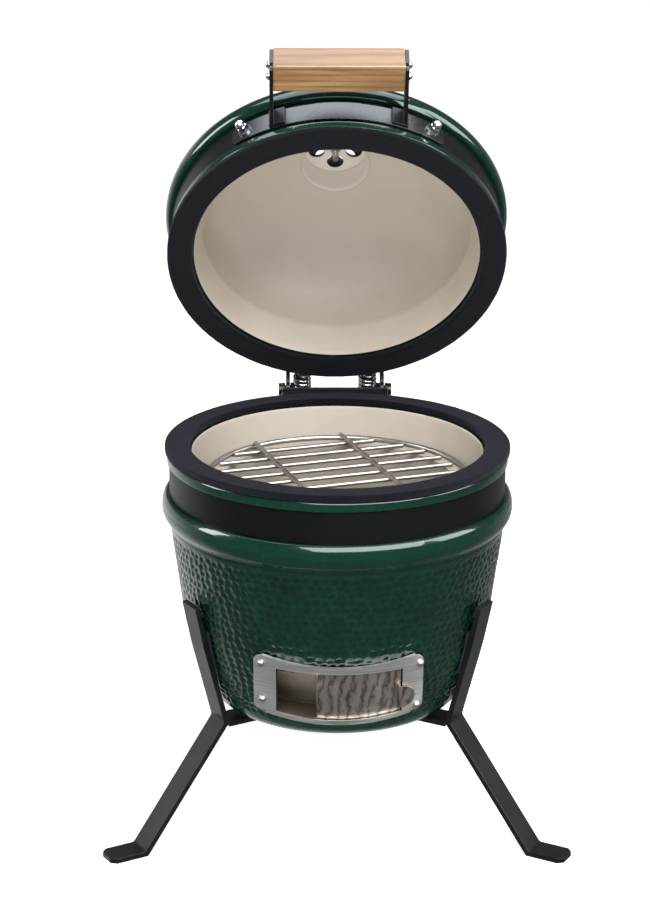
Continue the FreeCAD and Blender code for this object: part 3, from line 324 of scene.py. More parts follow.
def powder_material(name, roughness, grain, specular):
    """Black powder coat: fine orange peel, softly rounded edges and slight wear."""
    s = Shader(name, (0.013, 0.0135, 0.015), roughness)
    peel = s.noise(grain, 2)
    wear = s.noise(35, 5)
    s.color(s.ramp(wear, [(0.35, (0.0035, 0.0037, 0.0044)), (0.75, (0.0075, 0.0078, 0.0090))]))
    s.rough(wear, roughness - 0.07, roughness + 0.10)
    s.set("Specular IOR Level", specular)
    rounded = s.node("ShaderNodeBevel", Radius=0.0008)
    rounded.samples = 4
    s.link(rounded.outputs["Normal"], s.main.inputs["Normal"])
    s.bump(peel, 0.00025, 0.35)
    return s.material


def steel_material(name, color, low, high, stretch, streak=0.25, scale=140.0):
    """Worked steel: one noise sets colour, roughness and relief; an uneven stretch draws it into streaks."""
    s = Shader(name, color, (low + high) / 2, 1.0)
    brush = s.noise(scale, 5, stretch=stretch, roughness=0.65)
    dark = tuple(c * (1 - streak) for c in color)
    light = tuple(min(1.0, c * (1 + streak * 0.5)) for c in color)
    s.color(s.ramp(brush, [(0.3, dark), (0.7, light)]))
    s.rough(brush, low, high)
    s.set("Anisotropic", 0.35)
    s.bump(brush, 0.00006, 0.5)
    return s.material


def door_material():
    """Satin door sheet with a painted reflection of a wooden floor: dark, slanted, wavy streaks over broad
    clouds.
    """
    s = Shader("door_steel", (0.36, 0.31, 0.27), 0.2, 1.0)
    warp = s.noise(42, 4, stretch=(1.0, 1.0, 0.35), distortion=0.8)
    wave = s.node("ShaderNodeTexWave", Scale=34.0, Distortion=9.0, Detail=6.0)
    wave.inputs["Detail Scale"].default_value = 2.2
    wave.inputs["Detail Roughness"].default_value = 0.7
    slanted = s.scaled((1.0, 1.0, 0.34))
    slanted.node.inputs["Rotation"].default_value = (0, math.radians(-20), 0)
    s.link(slanted, wave.inputs["Vector"])
    # Painted reflection: slanted wavy streaks standing in for a wooden floor mirrored in the door.
    painted_floor_reflection = s.ramp(wave.outputs["Fac"], [(0.02, (0.11, 0.08, 0.065)), (0.10, (0.36, 0.30, 0.25)),
                                         (0.45, (0.60, 0.52, 0.45)), (0.9, (0.72, 0.64, 0.57))])
    cloud = s.ramp(warp, [(0.35, (0.36, 0.30, 0.26)), (0.65, (0.74, 0.67, 0.59))])
    s.color(s.mix(0.35, painted_floor_reflection, cloud))
    s.rough(warp, 0.34, 0.50)
    s.bump(s.noise(300, 3, stretch=(0.2, 0.2, 6)), 0.00005, 0.5)
    return s.material


def wire_material():
    s = Shader("grate_chrome", (0.66, 0.63, 0.60), 0.2, 1.0)
    tint = s.noise(70, 4)
    s.color(s.ramp(tint, [(0.3, (0.27, 0.245, 0.215)), (0.7, (0.42, 0.395, 0.365))]))
    s.rough(tint, 0.32, 0.48)
    s.bump(s.noise(700, 2), 0.00005, 0.6)
    return s.material


def wood_material():
    """Clear-coated light wood: long grain along X, growth lines and pores."""
    s = Shader("grip_wood", (0.62, 0.40, 0.20), 0.4)
    grain = s.noise(34, 6, stretch=(0.10, 1.0, 1.0), distortion=1.1)
    lines = s.node("ShaderNodeTexWave", Scale=34.0, Distortion=4.5, Detail=4.0)
    lines.bands_direction = "Z"
    lines.inputs["Detail Scale"].default_value = 1.2
    s.link(s.scaled((0.07, 1.0, 1.6)), lines.inputs["Vector"])
    body = s.ramp(grain, [(0.28, (0.19, 0.080, 0.018)), (0.5, (0.30, 0.145, 0.042)),
                          (0.72, (0.43, 0.24, 0.088))])
    rings = s.ramp(lines.outputs["Fac"], [(0.0, 0.60), (0.35, 0.93), (1.0, 1.08)])
    pores = s.ramp(s.noise(700, 3, stretch=(0.05, 1.0, 1.0)), [(0.38, 0.72), (0.5, 1.0)])
    color = s.mix(0.75, body, s.mix(1.0, body, rings, "MULTIPLY"))
    s.color(s.mix(0.6, color, s.mix(1.0, color, pores, "MULTIPLY")))
    s.set("Coat Weight", 0.6).set("Coat Roughness", 0.36)
    s.rough(grain, 0.36, 0.55)
    s.bump(s.noise(600, 3, stretch=(0.05, 1.0, 1.0)), 0.00015, 0.5)
    return s.material


def clay_material(name, low, high):
    """Bare fired clay: cloudy, gritty and dull."""
    s = Shader(name, low, 0.9)
    cloud = s.ramp(s.noise(14, 6), [(0.25, low), (0.75, high)])
    grit = s.ramp(s.cells(300), [(0.05, 0.7), (0.3, 1.0)])
    s.color(s.mix(0.6, cloud, s.mix(1.0, cloud, grit, "MULTIPLY")))
    s.bump(s.noise(120, 5), 0.0008, 0.6)
    s.bump(s.cells(500), 0.0003, 0.4)
    return s.material


def cast_material(name, color, roughness, grain, painted_bore_light=False):
    """Cast iron: coarse sand texture under a thin dark finish; if asked for, painted light where the part
    lies inside the chimney's bore.
    """
    s = Shader(name, color, roughness)
    sand = s.noise(grain, 5)
    light = tuple(c * 1.9 for c in color)
    finish = s.ramp(s.noise(60, 4), [(0.3, color), (0.8, light)])
    if painted_bore_light:
        # Painted light inside the chimney's bore: a paler colour and a faint glow.
        paint_bore_light(s, finish)
    else:
        s.color(finish)
    s.rough(sand, roughness - 0.1, min(1.0, roughness + 0.15))
    s.bump(sand, 0.0005, 0.5)
    return s.material


def plain_detail_material(name, color, roughness):
    """A finish with fine variation in tone, gloss and relief."""
    s = Shader(name, color, roughness)
    fleck = s.noise(500.0, 4)
    dark = tuple(c * 0.86 for c in color)
    s.color(s.ramp(fleck, [(0.35, dark), (0.65, color)]))
    s.rough(fleck, max(0.02, roughness - 0.06), min(1.0, roughness + 0.08))
    s.bump(fleck, 0.00003, 0.5)
    return s.material


def glass_material():
    s = Shader("dial_glass", (1.0, 1.0, 1.0), 0.02)
    s.set("Transmission Weight", 1.0).set("IOR", 1.45).set("Alpha", 0.22)
    s.rough(s.noise(200, 2), 0.0, 0.06)
    return s.material


GLAZE = glaze_material()
CERAMIC = ceramic_material()
# Dark clay for the draft hole's cut walls: painted shade inside the tunnel.
TUNNEL_PAINTED_SHADE = clay_material("sooty_clay", (0.105, 0.066, 0.038), (0.22, 0.145, 0.09))
FELT = felt_material()
BAND = band_material()
LEG_STEEL = powder_material("stand_powder_coat", 0.33, 900.0, 0.45)
PLATE_STEEL = powder_material("handle_powder_coat", 0.26, 700.0, 0.9)
FRAME_STEEL = steel_material("frame_steel", (0.78, 0.75, 0.69), 0.44, 0.60, (0.12, 0.12, 5.0))
SCREW_STEEL = steel_material("screw_steel", (0.56, 0.54, 0.49), 0.30, 0.46, (1, 1, 1), 0.35, 420.0)
DOOR_STEEL = door_material()
WIRE = wire_material()
WOOD = wood_material()
CLAY = clay_material("fire_clay", (0.40, 0.345, 0.28), (0.55, 0.49, 0.41))
FIRE_IRON = cast_material("fire_grate_iron", (0.035, 0.033, 0.031), 0.8, 500.0)
# The damper's faces inside the bore get painted light.
DAMPER_IRON = cast_material("damper_enamel", (0.020, 0.020, 0.021), 0.45, 420.0, painted_bore_light=True)
BRIGHT = steel_material("bright_nuts", (0.78, 0.78, 0.79), 0.10, 0.22, (1, 1, 1), 0.15, 300.0)
ZINC = steel_material("zinc_plate", (0.50, 0.50, 0.50), 0.26, 0.42, (1, 1, 1), 0.3, 220.0)
SPRING = steel_material("spring_wire", (0.70, 0.69, 0.67), 0.18, 0.32, (1, 1, 1), 0.25, 400.0)
BEZEL = steel_material("bezel_steel", (0.66, 0.66, 0.66), 0.12, 0.24, (1, 1, 1), 0.15, 260.0)
RUBBER = plain_detail_material("sleeve_rubber", (0.006, 0.006, 0.0065), 0.6)
DIAL = plain_detail_material("dial_face", (0.86, 0.86, 0.83), 0.5)
NEEDLE = plain_detail_material("needle_paint", (0.55, 0.03, 0.02), 0.35)
PRINT = plain_detail_material("dial_print", (0.02, 0.02, 0.022), 0.6)
GLASS = glass_material()

BY_SLOT = {"felt": FELT, "black_band": BAND, "black_steel": LEG_STEEL, "fire_ceramic": CLAY,
           "cast_iron": FIRE_IRON, "stainless": FRAME_STEEL, "grate_wire": WIRE,
           "bright_fasteners": BRIGHT, "dark_fasteners": ZINC, "spring_steel": SPRING, "maple": WOOD,
           "damper_iron": DAMPER_IRON, "dial_steel": BEZEL, "dial_white": DIAL, "needle_red": NEEDLE,
           "glass": GLASS, "glaze": GLAZE}
BY_NODE = {"draft_door": DOOR_STEEL, "handle_plate": PLATE_STEEL, "draft_frame_screws": SCREW_STEEL,
           "hinge_pivot_bolts": LEG_STEEL, "hinge_pivot_nuts": LEG_STEEL}
for name, node in frame["nodes"].items():
    for place in node.material_slots:
        found = next((m for key, m in BY_SLOT.items() if place.material.name.startswith(key)), LEG_STEEL)
        place.material = BY_NODE.get(name, found)


# ---- ceramic shells --------------------------------------------------------------------------

class Profile:
    """Half section of a shell of revolution, sampled along lines and arcs, in millimetres."""

    def __init__(self, start, zone=0):
        self.points = [Vector(start)]
        self.zones = [zone]

    def line(self, end, step, zone=0):
        start = self.points[-1]
        end = Vector(end)
        count = max(1, round((end - start).length / step))
        for i in range(1, count + 1):
            self.points.append(start.lerp(end, i / count))
            self.zones.append(zone)
        return self

    def arc(self, end, radius, side, step, zone=0):
        """side +1 bulges to the left of the way from start to end."""
        start = self.points[-1]
        end = Vector(end)
        run = end - start
        left = Vector((-run.y, run.x)).normalized()
        centre = (start + end) / 2 - left * side * math.sqrt(max(radius ** 2 - run.length ** 2 / 4, 0))
        first = start - centre
        angle = first.angle_signed(end - centre)
        count = max(2, round(abs(angle) * radius / step))
        for i in range(1, count + 1):
            turn = Matrix.Rotation(-angle * i / count, 2)
            self.points.append(centre + turn @ first)
            self.zones.append(zone)
        return self


SMOOTH, DIMPLED, INSIDE = 0, 1, 2
AROUND = 640
HOLLOW_DEPTH, HOLLOW_SPACING, HOLLOW_ROWS = 1.3, 8.8, 7.4


def dimple_seeds(profile, spacing, rows_apart, rng):
    """Centres of the hammered hollows: staggered rows round the wall, each moved a little."""
    seeds = []
    run = 0.0
    row = 0
    points = profile.points
    for i in range(1, len(points)):
        run += (points[i] - points[i - 1]).length if profile.zones[i] == DIMPLED else 0.0
        if profile.zones[i] != DIMPLED or run < row * rows_apart:
            continue
        row += 1
        count = max(6, round(2 * math.pi * points[i].x / spacing))
        for k in range(count):
            angle = 2 * math.pi * (k + 0.5 * (row % 2) + rng.uniform(-0.24, 0.24)) / count
            slip = rng.uniform(-0.22, 0.22) * rows_apart
            seeds.append((points[i].x * math.cos(angle), points[i].x * math.sin(angle), points[i].y + slip))
    return seeds


def build_shell(name, profile, depth, spacing, rows_apart, seed, place):
    """Revolve a closed half section and press the hammered hollows into its dimpled zone."""
    rng = random.Random(seed)
    points = profile.points
    count = len(points)
    normals = []
    for i in range(count):
        along = (points[(i + 1) % count] - points[i - 1]).normalized()
        normals.append(Vector((along.y, -along.x)))
    area = sum(points[i].x * points[(i + 1) % count].y - points[(i + 1) % count].x * points[i].y
               for i in range(count))
    flip = 1.0 if area > 0 else -1.0
    seeds = dimple_seeds(profile, spacing, rows_apart, rng)
    tree = kdtree.KDTree(len(seeds))
    for i, seed_point in enumerate(seeds):
        tree.insert(Vector((seed_point[0], seed_point[1], seed_point[2] * spacing / rows_apart)), i)
    tree.balance()
    edge_fade = fade_along(profile)
    coords = np.zeros((count, AROUND, 3))
    relief = np.full((count, AROUND), 0.5)
    reach = spacing * 0.62
    for i in range(count):
        x, z = points[i]
        for k in range(AROUND):
            angle = 2 * math.pi * k / AROUND
            c, s = math.cos(angle), math.sin(angle)
            push = 0.0
            if profile.zones[i] == DIMPLED:
                a, b = (n[2] for n in tree.find_n((x * c, x * s, z * spacing / rows_apart), 2))
                bowl = 1.0 - min(1.0, (a / reach) ** 2)
                ridge = 1.0 - math.exp(-((b - a) / (0.22 * spacing)) ** 2 * 1.2)
                hollow = bowl * (0.35 + 0.65 * ridge)
                push = -depth * hollow * edge_fade[i]
                relief[i, k] = 1.0 - hollow * edge_fade[i]
            r = x + flip * normals[i].x * push
            coords[i, k] = (r * c, r * s, z + flip * normals[i].y * push)
    faces = []
    for i in range(count):
        low, high = i * AROUND, ((i + 1) % count) * AROUND
        for k in range(AROUND):
            n = (k + 1) % AROUND
            quad = (low + k, low + n, high + n, high + k)
            faces.append(quad if flip > 0 else quad[::-1])
    flat = coords.reshape(-1, 3) * MM
    mesh = mesh_from(name, [place(x, y, z) for x, y, z in flat], faces)
    store(mesh, "relief", relief.reshape(-1))
    thin = np.repeat(np.array([thin_glaze(profile, i) for i in range(count)]), AROUND)
    store(mesh, "thin_glaze", thin)
    mesh.materials.append(GLAZE)
    mesh.materials.append(CERAMIC)
    zones = np.array([profile.zones[(i + 1) % count] for i in range(count)])
    mesh.polygons.foreach_set("material_index", np.repeat((zones == INSIDE).astype(int), AROUND))
    return add_object(name, mesh)


def store(mesh, name, values):
    made = mesh.attributes.new(name, "FLOAT", "POINT")
    made.data.foreach_set("value", np.asarray(values, np.float32))


def fade_along(profile):
    """How strongly each ring of the dimpled zone is pressed: softly off at the zone's two ends."""
    runs = [0.0]
    for i in range(1, len(profile.points)):
        runs.append(runs[-1] + (profile.points[i] - profile.points[i - 1]).length)
    marked = [runs[i] for i in range(len(runs)) if profile.zones[i] == DIMPLED]
    low, high = min(marked), max(marked)
    fades = []
    for run in runs:
        t = min((run - low) / 6.0, (high - run) / 9.0, 1.0)
        t = max(t, 0.0)
        fades.append(t * t * (3 - 2 * t))
    return fades


def thin_glaze(profile, i):
    """Glaze thins over the rim ring and the crown of the bead."""
    r, z = profile.points[i]
    if profile.zones[i] != SMOOTH:
        return 0.0
    level = abs(z)
    rim = 0.75 if level < 17.5 and r > 155 else 0.0
    bead = 0.85 * math.exp(-((level - 56) / 9.0) ** 2) if r > 150 else 0.0
    return min(1.0, max(rim, bead) * 0.8)


# Outlines of the two shells in millimetres, radius from the axis and level from the rim plane.
SEAT_IN, SEAT_OUT, SEAT = 139.0, 163.0, 7.0
RIM_EDGE, GROOVE, GROOVE_END = 16.9, 158.5, 48.0
BEAD_R, BEAD_LEVEL = 167.8, 57.0
MOUTH_R, MOUTH_LEVEL = 131.0, 40.0
POT_BOTTOM, POT_FLOOR, POT_EDGE = -257.0, -236.5, 14.0
KNEE_R, KNEE_LEVEL = 149.8, -160.0
BELLY_R, BELLY_IN, BELLY_LEVEL = 257.0, -104.7, -125.0
DOME_DROP, DOME_OUT, DOME_IN, DOME_BASE_R = -18.7, 177.6, 159.2, 150.0
NECK_R, NECK_TOP, NECK_FILLET = 44.0, 166.0, 7.0
BORE_R, DOME_MOUTH_R = 33.0, 126.0


def belly_radius(z):
    return BELLY_IN + math.sqrt(BELLY_R ** 2 - (z - BELLY_LEVEL) ** 2)


def dome_level(radius, r):
    """Level at radius r on one of the dome's two spheres."""
    return DOME_DROP + math.sqrt(radius ** 2 - r ** 2)


def rim_to_bead(up):
    """From the gasket's seat over the rim and the band's groove to the bead; up is -1 on the pot."""
    p = Profile((SEAT_IN, up * SEAT), INSIDE)
    p.line((SEAT_OUT - 3, up * SEAT), 2.2, SMOOTH).arc((SEAT_OUT, up * (SEAT + 3)), 3.0, -up, 0.8, SMOOTH)
    p.line((SEAT_OUT, up * (RIM_EDGE - 1.5)), 1.6, SMOOTH)
    p.arc((SEAT_OUT - 1.5, up * RIM_EDGE), 1.5, -up, 0.6, SMOOTH)
    p.line((GROOVE, up * RIM_EDGE), 1.5, SMOOTH).line((GROOVE, up * GROOVE_END), 5, SMOOTH)
    p.line((164.4, up * GROOVE_END), 1.5, SMOOTH)
    return p.arc((BEAD_R, up * BEAD_LEVEL), 11, -up, 0.9, SMOOTH)


def close_at_seat(p, up):
    """Back along the inside of the mouth to the seat's first point, which isn't repeated."""
    p.line((138.2, up * 9), 3, INSIDE).line((SEAT_IN, up * SEAT), 1.5, INSIDE)
    p.points.pop()
    p.zones.pop()
    return p


def pot_profile():
    p = rim_to_bead(-1)
    p.arc((161.7, -73.5), 16, 1, 1.1, SMOOTH).arc((161.0, -77.0), 5, -1, 0.9, SMOOTH)
    p.line((KNEE_R, KNEE_LEVEL), 1.5, DIMPLED)
    turn = POT_BOTTOM + POT_EDGE
    lean = math.asin((BELLY_LEVEL - turn) / BELLY_R)
    round_off = POT_EDGE / (1 - math.sin(lean))
    p.arc((belly_radius(turn), turn), BELLY_R, 1, 1.5, DIMPLED)
    p.arc((belly_radius(turn) - round_off * math.cos(lean), POT_BOTTOM), round_off, 1, 1.6, SMOOTH)
    p.line((1.0, POT_BOTTOM), 9, INSIDE).line((1.0, POT_FLOOR), 9, INSIDE)
    p.line((84, POT_FLOOR), 9, INSIDE).arc((107, -222), 30, -1, 3, INSIDE)
    p.arc((126, -150), 200, -1, 6, INSIDE).line((130, -70), 6, INSIDE)
    p.line((MOUTH_R, -MOUTH_LEVEL), 5, INSIDE)
    return close_at_seat(p, -1)


def dome_profile():
    root = NECK_R + 5.0
    foot = dome_level(DOME_OUT, root)
    p = rim_to_bead(1)
    p.arc((152.5, 73.5), 16.5, -1, 1.1, SMOOTH)
    p.line((DOME_BASE_R, dome_level(DOME_OUT, DOME_BASE_R)), 1.2, SMOOTH)
    p.arc((root, foot), DOME_OUT, -1, 1.5, DIMPLED)
    p.arc((NECK_R, foot + 6.5), NECK_FILLET, 1, 1.2, SMOOTH)
    p.line((NECK_R, NECK_TOP - 2.5), 4, SMOOTH).arc((NECK_R - 2.5, NECK_TOP), 2.5, -1, 1.0, SMOOTH)
    p.line((BORE_R, NECK_TOP), 2, INSIDE).line((BORE_R, dome_level(DOME_IN, BORE_R)), 4, INSIDE)
    p.arc((DOME_MOUTH_R, dome_level(DOME_IN, DOME_MOUTH_R)), DOME_IN, 1, 5, INSIDE)
    p.arc((MOUTH_R, MOUTH_LEVEL), 60, 1, 5, INSIDE)
    return close_at_seat(p, 1)


def cut(thing, cutter):
    """Subtract a closed mesh, which is then thrown away."""
    tool = thing.modifiers.new("cut", "BOOLEAN")
    tool.operation = "DIFFERENCE"
    tool.solver = "EXACT"
    tool.object = cutter
    tool.material_mode = "TRANSFER"
    bpy.context.view_layer.objects.active = thing
    bpy.ops.object.modifier_apply(modifier=tool.name)
    bpy.data.objects.remove(cutter)


def box_mesh(name, low, high, material):
    points = [(x, y, z) for x in (low[0], high[0]) for y in (low[1], high[1]) for z in (low[2], high[2])]
    faces = [(0, 1, 3, 2), (4, 6, 7, 5), (0, 4, 5, 1), (2, 3, 7, 6), (0, 2, 6, 4), (1, 5, 7, 3)]
    mesh = mesh_from(name, points, faces)
    mesh.materials.append(material)
    return add_object(name, mesh, smooth=False)


pot = build_shell("pot_shell", pot_profile(), HOLLOW_DEPTH, HOLLOW_SPACING, HOLLOW_ROWS, 11, base_point)
# The draft hole goes right through the front wall, behind the left part of the frame's window.
corner_low = base_point(-0.057, -0.190, -0.2315)
corner_high = base_point(0.020, -0.070, -0.181)
# The cut walls of the hole take the dark clay, painted shade.
cut(pot, box_mesh("draft_cutter", corner_low, corner_high, TUNNEL_PAINTED_SHADE))
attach(pot, "base")
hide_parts("base_shell")

dome = build_shell("dome_shell", dome_profile(), HOLLOW_DEPTH, HOLLOW_SPACING, HOLLOW_ROWS, 23, lid_point)
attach(dome, "lid")
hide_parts("lid_shell")


# ---- felt rings ------------------------------------------------------------------------------

def felt_ring(name, sign, place, seed):
    """Pressed felt ring with soft corners and a slightly uneven surface."""
    rng = random.Random(seed)
    inner, outer, low, high, soft = 141.0, 165.0, 0.0, 7.0, 1.6
    corners = ((outer, low), (outer, high), (inner, high), (inner, low))
    section = []
    for index, (r, z) in enumerate(corners):
        toward_r = -1 if r == outer else 1
        toward_z = 1 if z == low else -1
        start = 90 * index - 90
        for step in range(5):
            a = math.radians(start + 22.5 * step)
            centre = (r + toward_r * soft, z + toward_z * soft)
            section.append((centre[0] + soft * math.cos(a), centre[1] + soft * math.sin(a)))
    dense = []
    for i, here in enumerate(section):
        there = section[(i + 1) % len(section)]
        gap = math.dist(here, there)
        steps = max(1, round(gap / 2.4))
        for k in range(steps):
            dense.append(tuple(a + (b - a) * k / steps for a, b in zip(here, there)))
    middle_r, middle_z = (inner + outer) / 2, (low + high) / 2
    columns = 420
    waves = [(rng.randint(3, 26), rng.uniform(0, 6.28), rng.uniform(0.02, 0.06)) for _ in range(9)]
    points = []
    for k in range(columns):
        angle = 2 * math.pi * k / columns
        wobble = sum(size * math.sin(n * angle + phase) for n, phase, size in waves)
        for r, z in dense:
            fuzz = rng.uniform(0.0, 0.16)
            r2 = r - math.copysign(fuzz + abs(wobble) * 0.5, r - middle_r)
            z2 = z - math.copysign(fuzz * 0.8 + abs(wobble) * 0.4, z - middle_z)
            points.append(place(r2 * math.cos(angle) * MM, r2 * math.sin(angle) * MM, sign * z2 * MM))
    faces = []
    size = len(dense)
    for k in range(columns):
        n = (k + 1) % columns
        for i in range(size):
            j = (i + 1) % size
            quad = (k * size + i, n * size + i, n * size + j, k * size + j)
            faces.append(quad if sign > 0 else quad[::-1])
    mesh = mesh_from(name, points, faces)
    mesh.materials.append(FELT)
    return add_object(name, mesh)


FELT_RINGS = (("felt_ring_base", -1, base_point, "base", "base_gasket", 5),
              ("felt_ring_lid", 1, lid_point, "lid", "lid_gasket", 6))
for ring_name, sign, place, body, node, seed in FELT_RINGS:
    ring = felt_ring(ring_name, sign, place, seed)
    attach(ring, body)
    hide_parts(node)


# ---- wooden grip -----------------------------------------------------------------------------

def face_turn(node):
    """Angle in the y-z plane of the widest flat face of a node whose bar runs along X."""
    faces = [p for p in frame["nodes"][node].data.polygons if abs(p.normal.x) < 0.01]
    widest = max(faces, key=lambda p: p.area)
    return math.atan2(widest.normal.z, widest.normal.y) % (math.pi / 2)


def wooden_grip():
    """Bar with eased long edges, faintly dished faces and softened ends."""
    low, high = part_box("handle_grip")
    source = frame["nodes"]["handle_grip"]
    corners = np.array([v.co for v in source.data.vertices])
    end = corners[np.abs(corners[:, 0] - low.x) < 1e-5][:, 1:]
    middle = (end.max(0) + end.min(0)) / 2
    half = 14.9 * MM
    angle = face_turn("handle_grip")
    c, s = math.cos(angle), math.sin(angle)
    made = bmesh.new()
    steps, rows = 7, 60
    soft = 2.6 * MM
    section = []
    for quarter in range(4):
        sx = 1 if quarter in (0, 3) else -1
        sz = 1 if quarter in (0, 1) else -1
        for step in range(5):
            a = math.radians(90 * quarter + 22.5 * step)
            section.append((sx * (half - soft) + soft * math.cos(a), sz * (half - soft) + soft * math.sin(a)))
    dense = []
    for i, here in enumerate(section):
        there = section[(i + 1) % len(section)]
        count = steps if math.dist(here, there) > 5 * MM else 1
        for k in range(count):
            t = k / count
            y = here[0] + (there[0] - here[0]) * t
            z = here[1] + (there[1] - here[1]) * t
            dish = 0.25 * MM * math.sin(math.pi * t) if count > 1 else 0.0
            size = math.hypot(y, z)
            dense.append((y - y / size * dish, z - z / size * dish))
    rings = []
    length = high.x - low.x
    for i in range(rows + 1):
        x = low.x + length * i / rows
        inset = 1.0
        edge = min(x - low.x, high.x - x)
        if edge < 1.2 * MM:
            inset = 1.0 - 0.03 * (1 - edge / (1.2 * MM))
        ring = []
        for y, z in dense:
            turned = (inset * (y * c - z * s), inset * (y * s + z * c))
            ring.append(made.verts.new((x, middle[0] + turned[0], middle[1] + turned[1])))
        rings.append(ring)
    for i in range(rows):
        for k in range(len(dense)):
            n = (k + 1) % len(dense)
            made.faces.new((rings[i][k], rings[i + 1][k], rings[i + 1][n], rings[i][n]))
    made.faces.new(rings[0][::-1])
    made.faces.new(rings[-1])
    bmesh.ops.recalc_face_normals(made, faces=made.faces)
    mesh = bpy.data.meshes.new("wooden_grip")
    made.to_mesh(mesh)
    made.free()
    mesh.materials.append(WOOD)
    grip = add_object("wooden_grip", mesh)
    sharp_by_angle(grip, 40)
    return grip


grip = wooden_grip()
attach(grip, "lid")
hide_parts("handle_grip")


# ---- springs ---------------------------------------------------------------------------------

RING_RADIUS = 4.6 * MM
RING_POINTS = 22
COIL_RADIUS = 8.2 * MM
COIL_PITCH = 4.2 * MM
COIL_MARGIN = 10 * MM  # from a pin to the coil's first turn
POINTS_PER_TURN = 26
WIRE_RADIUS = 1.3 * MM
SLEEVE_RADIUS = 6.4 * MM


def tube(name, path, radius, sides, material):
    """A round bar along a list of points, capped at both ends."""
    points = []
    count = len(path)
    side = None
    for i, here in enumerate(path):
        before = path[i - 1] if i else here
        after = path[i + 1] if i + 1 < count else here
        along = (after - before).normalized()
        if side is None:
            side = along.orthogonal().normalized()
        side = (side - along * side.dot(along)).normalized()
        other = along.cross(side)
        for k in range(sides):
            a = 2 * math.pi * k / sides
            points.append(here + (side * math.cos(a) + other * math.sin(a)) * radius)
    faces = []
    for i in range(count - 1):
        for k in range(sides):
            n = (k + 1) % sides
            faces.append((i * sides + k, i * sides + n, (i + 1) * sides + n, (i + 1) * sides + k))
    faces.append(tuple(range(sides))[::-1])
    faces.append(tuple(range((count - 1) * sides, count * sides)))
    mesh = mesh_from(name, points, faces)
    mesh.materials.append(material)
    return add_object(name, mesh)


def pin_ring(pin, across_pin, up, first, sweep):
    """Points of the wire's open ring round a pin, from a first angle through a sweep, in degrees."""
    points = []
    for i in range(RING_POINTS):
        a = math.radians(first + sweep * i / (RING_POINTS - 1))
        points.append(pin + across_pin * RING_RADIUS * math.sin(a) - up * RING_RADIUS * math.cos(a))
    return points


def spring_path(low, high):
    """One bent wire: ring round the lower pin, coil, ring round the upper pin."""
    up = (high - low).normalized()
    across = Vector((1, 0, 0))
    deep = across.cross(up).normalized()
    length = (high - low).length
    start, stop = COIL_MARGIN, length - COIL_MARGIN
    turns = (stop - start) / COIL_PITCH
    path = pin_ring(low, deep, up, 300, -330)
    steps = int(turns * POINTS_PER_TURN)
    for i in range(steps + 1):
        t = i / steps
        grow = min(1.0, t * turns / 0.5, (1 - t) * turns / 0.5)
        a = 2 * math.pi * turns * t
        r = COIL_RADIUS * (0.45 + 0.55 * grow)
        path.append(low + up * (start + (stop - start) * t) + (across * math.cos(a) + deep * math.sin(a)) * r)
    return path + pin_ring(high, deep, up, 30, 330)


lower_pin = sum(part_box("spring_pin_lower"), Vector()) / 2
upper_pin = sum(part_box("spring_pin_upper"), Vector()) / 2
for spring_name in ("spring_left", "spring_right"):
    middle_x = sum(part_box(spring_name), Vector()).x / 2
    low_end = Vector((middle_x, lower_pin.y, lower_pin.z))
    high_end = Vector((middle_x, upper_pin.y, upper_pin.z))
    wire = tube(spring_name + "_wire", spring_path(low_end, high_end), WIRE_RADIUS, 10, SPRING)
    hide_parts(spring_name)
    core = [low_end.lerp(high_end, 0.16 + 0.68 * i / 24) for i in range(25)]
    sleeve = tube(spring_name + "_sleeve", core, SLEEVE_RADIUS, 24, RUBBER)
    for piece in (wire, sleeve):
        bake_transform(piece)


# ---- thermometer dial print --------------------------------------------------------------------

DIAL_TILT = math.radians(40.9)  # of the thermometer's axis above the rim plane, lid closed
TICKS = 41
FIRST_TICK, TICK_STEP = -130, 6.5  # degrees
LONG_EVERY = 5


def dial_marks():
    """Ticks round the dial, as thin raised print."""
    low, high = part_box("thermometer_dial")
    centre = (low + high) / 2
    out = lid_turn((0, -math.cos(DIAL_TILT), math.sin(DIAL_TILT))).normalized()
    right = Vector((1, 0, 0))
    up = out.cross(right).normalized()
    face = max((Vector(v.co) - centre).dot(out) for v in frame["nodes"]["thermometer_dial"].data.vertices)
    made = bmesh.new()
    for index in range(TICKS):
        a = math.radians(FIRST_TICK + TICK_STEP * index)
        long_tick = index % LONG_EVERY == 0
        ray = right * math.sin(a) + up * math.cos(a)
        side = ray.cross(out)
        r0 = (15.0 if long_tick else 16.8) * MM
        r1 = 18.6 * MM
        half = (0.32 if long_tick else 0.18) * MM
        ends = []
        for height in (0.02 * MM, 0.12 * MM):
            for r, w in ((r0, -half), (r0, half), (r1, half), (r1, -half)):
                ends.append(made.verts.new(centre + out * (face + height) + ray * r + side * w))
        for quad in ((0, 3, 2, 1), (4, 5, 6, 7), (0, 1, 5, 4), (1, 2, 6, 5), (2, 3, 7, 6), (3, 0, 4, 7)):
            made.faces.new([ends[q] for q in quad])
    bmesh.ops.recalc_face_normals(made, faces=made.faces)
    mesh = bpy.data.meshes.new("dial_ticks")
    made.to_mesh(mesh)
    made.free()
    mesh.materials.append(PRINT)
    return add_object("dial_ticks", mesh, smooth=False)


ticks = dial_marks()
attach(ticks, "lid")


# ---- floor, light and camera -------------------------------------------------------------------

def stage_floor():
    mesh = mesh_from("stage_floor", [(-40, -40, 0), (40, -40, 0), (40, 40, 0), (-40, 40, 0)], [(0, 1, 2, 3)])
    floor = add_object("stage_floor", mesh, smooth=False)
    s = Shader("stage_white", (0.86, 0.86, 0.85), 0.9)
    s.set("Emission Color", (1, 0.998, 0.99, 1)).set("Emission Strength", 0.86)
    s.set("Specular IOR Level", 0.0)
    mesh.materials.append(s.material)
    floor.visible_glossy = False


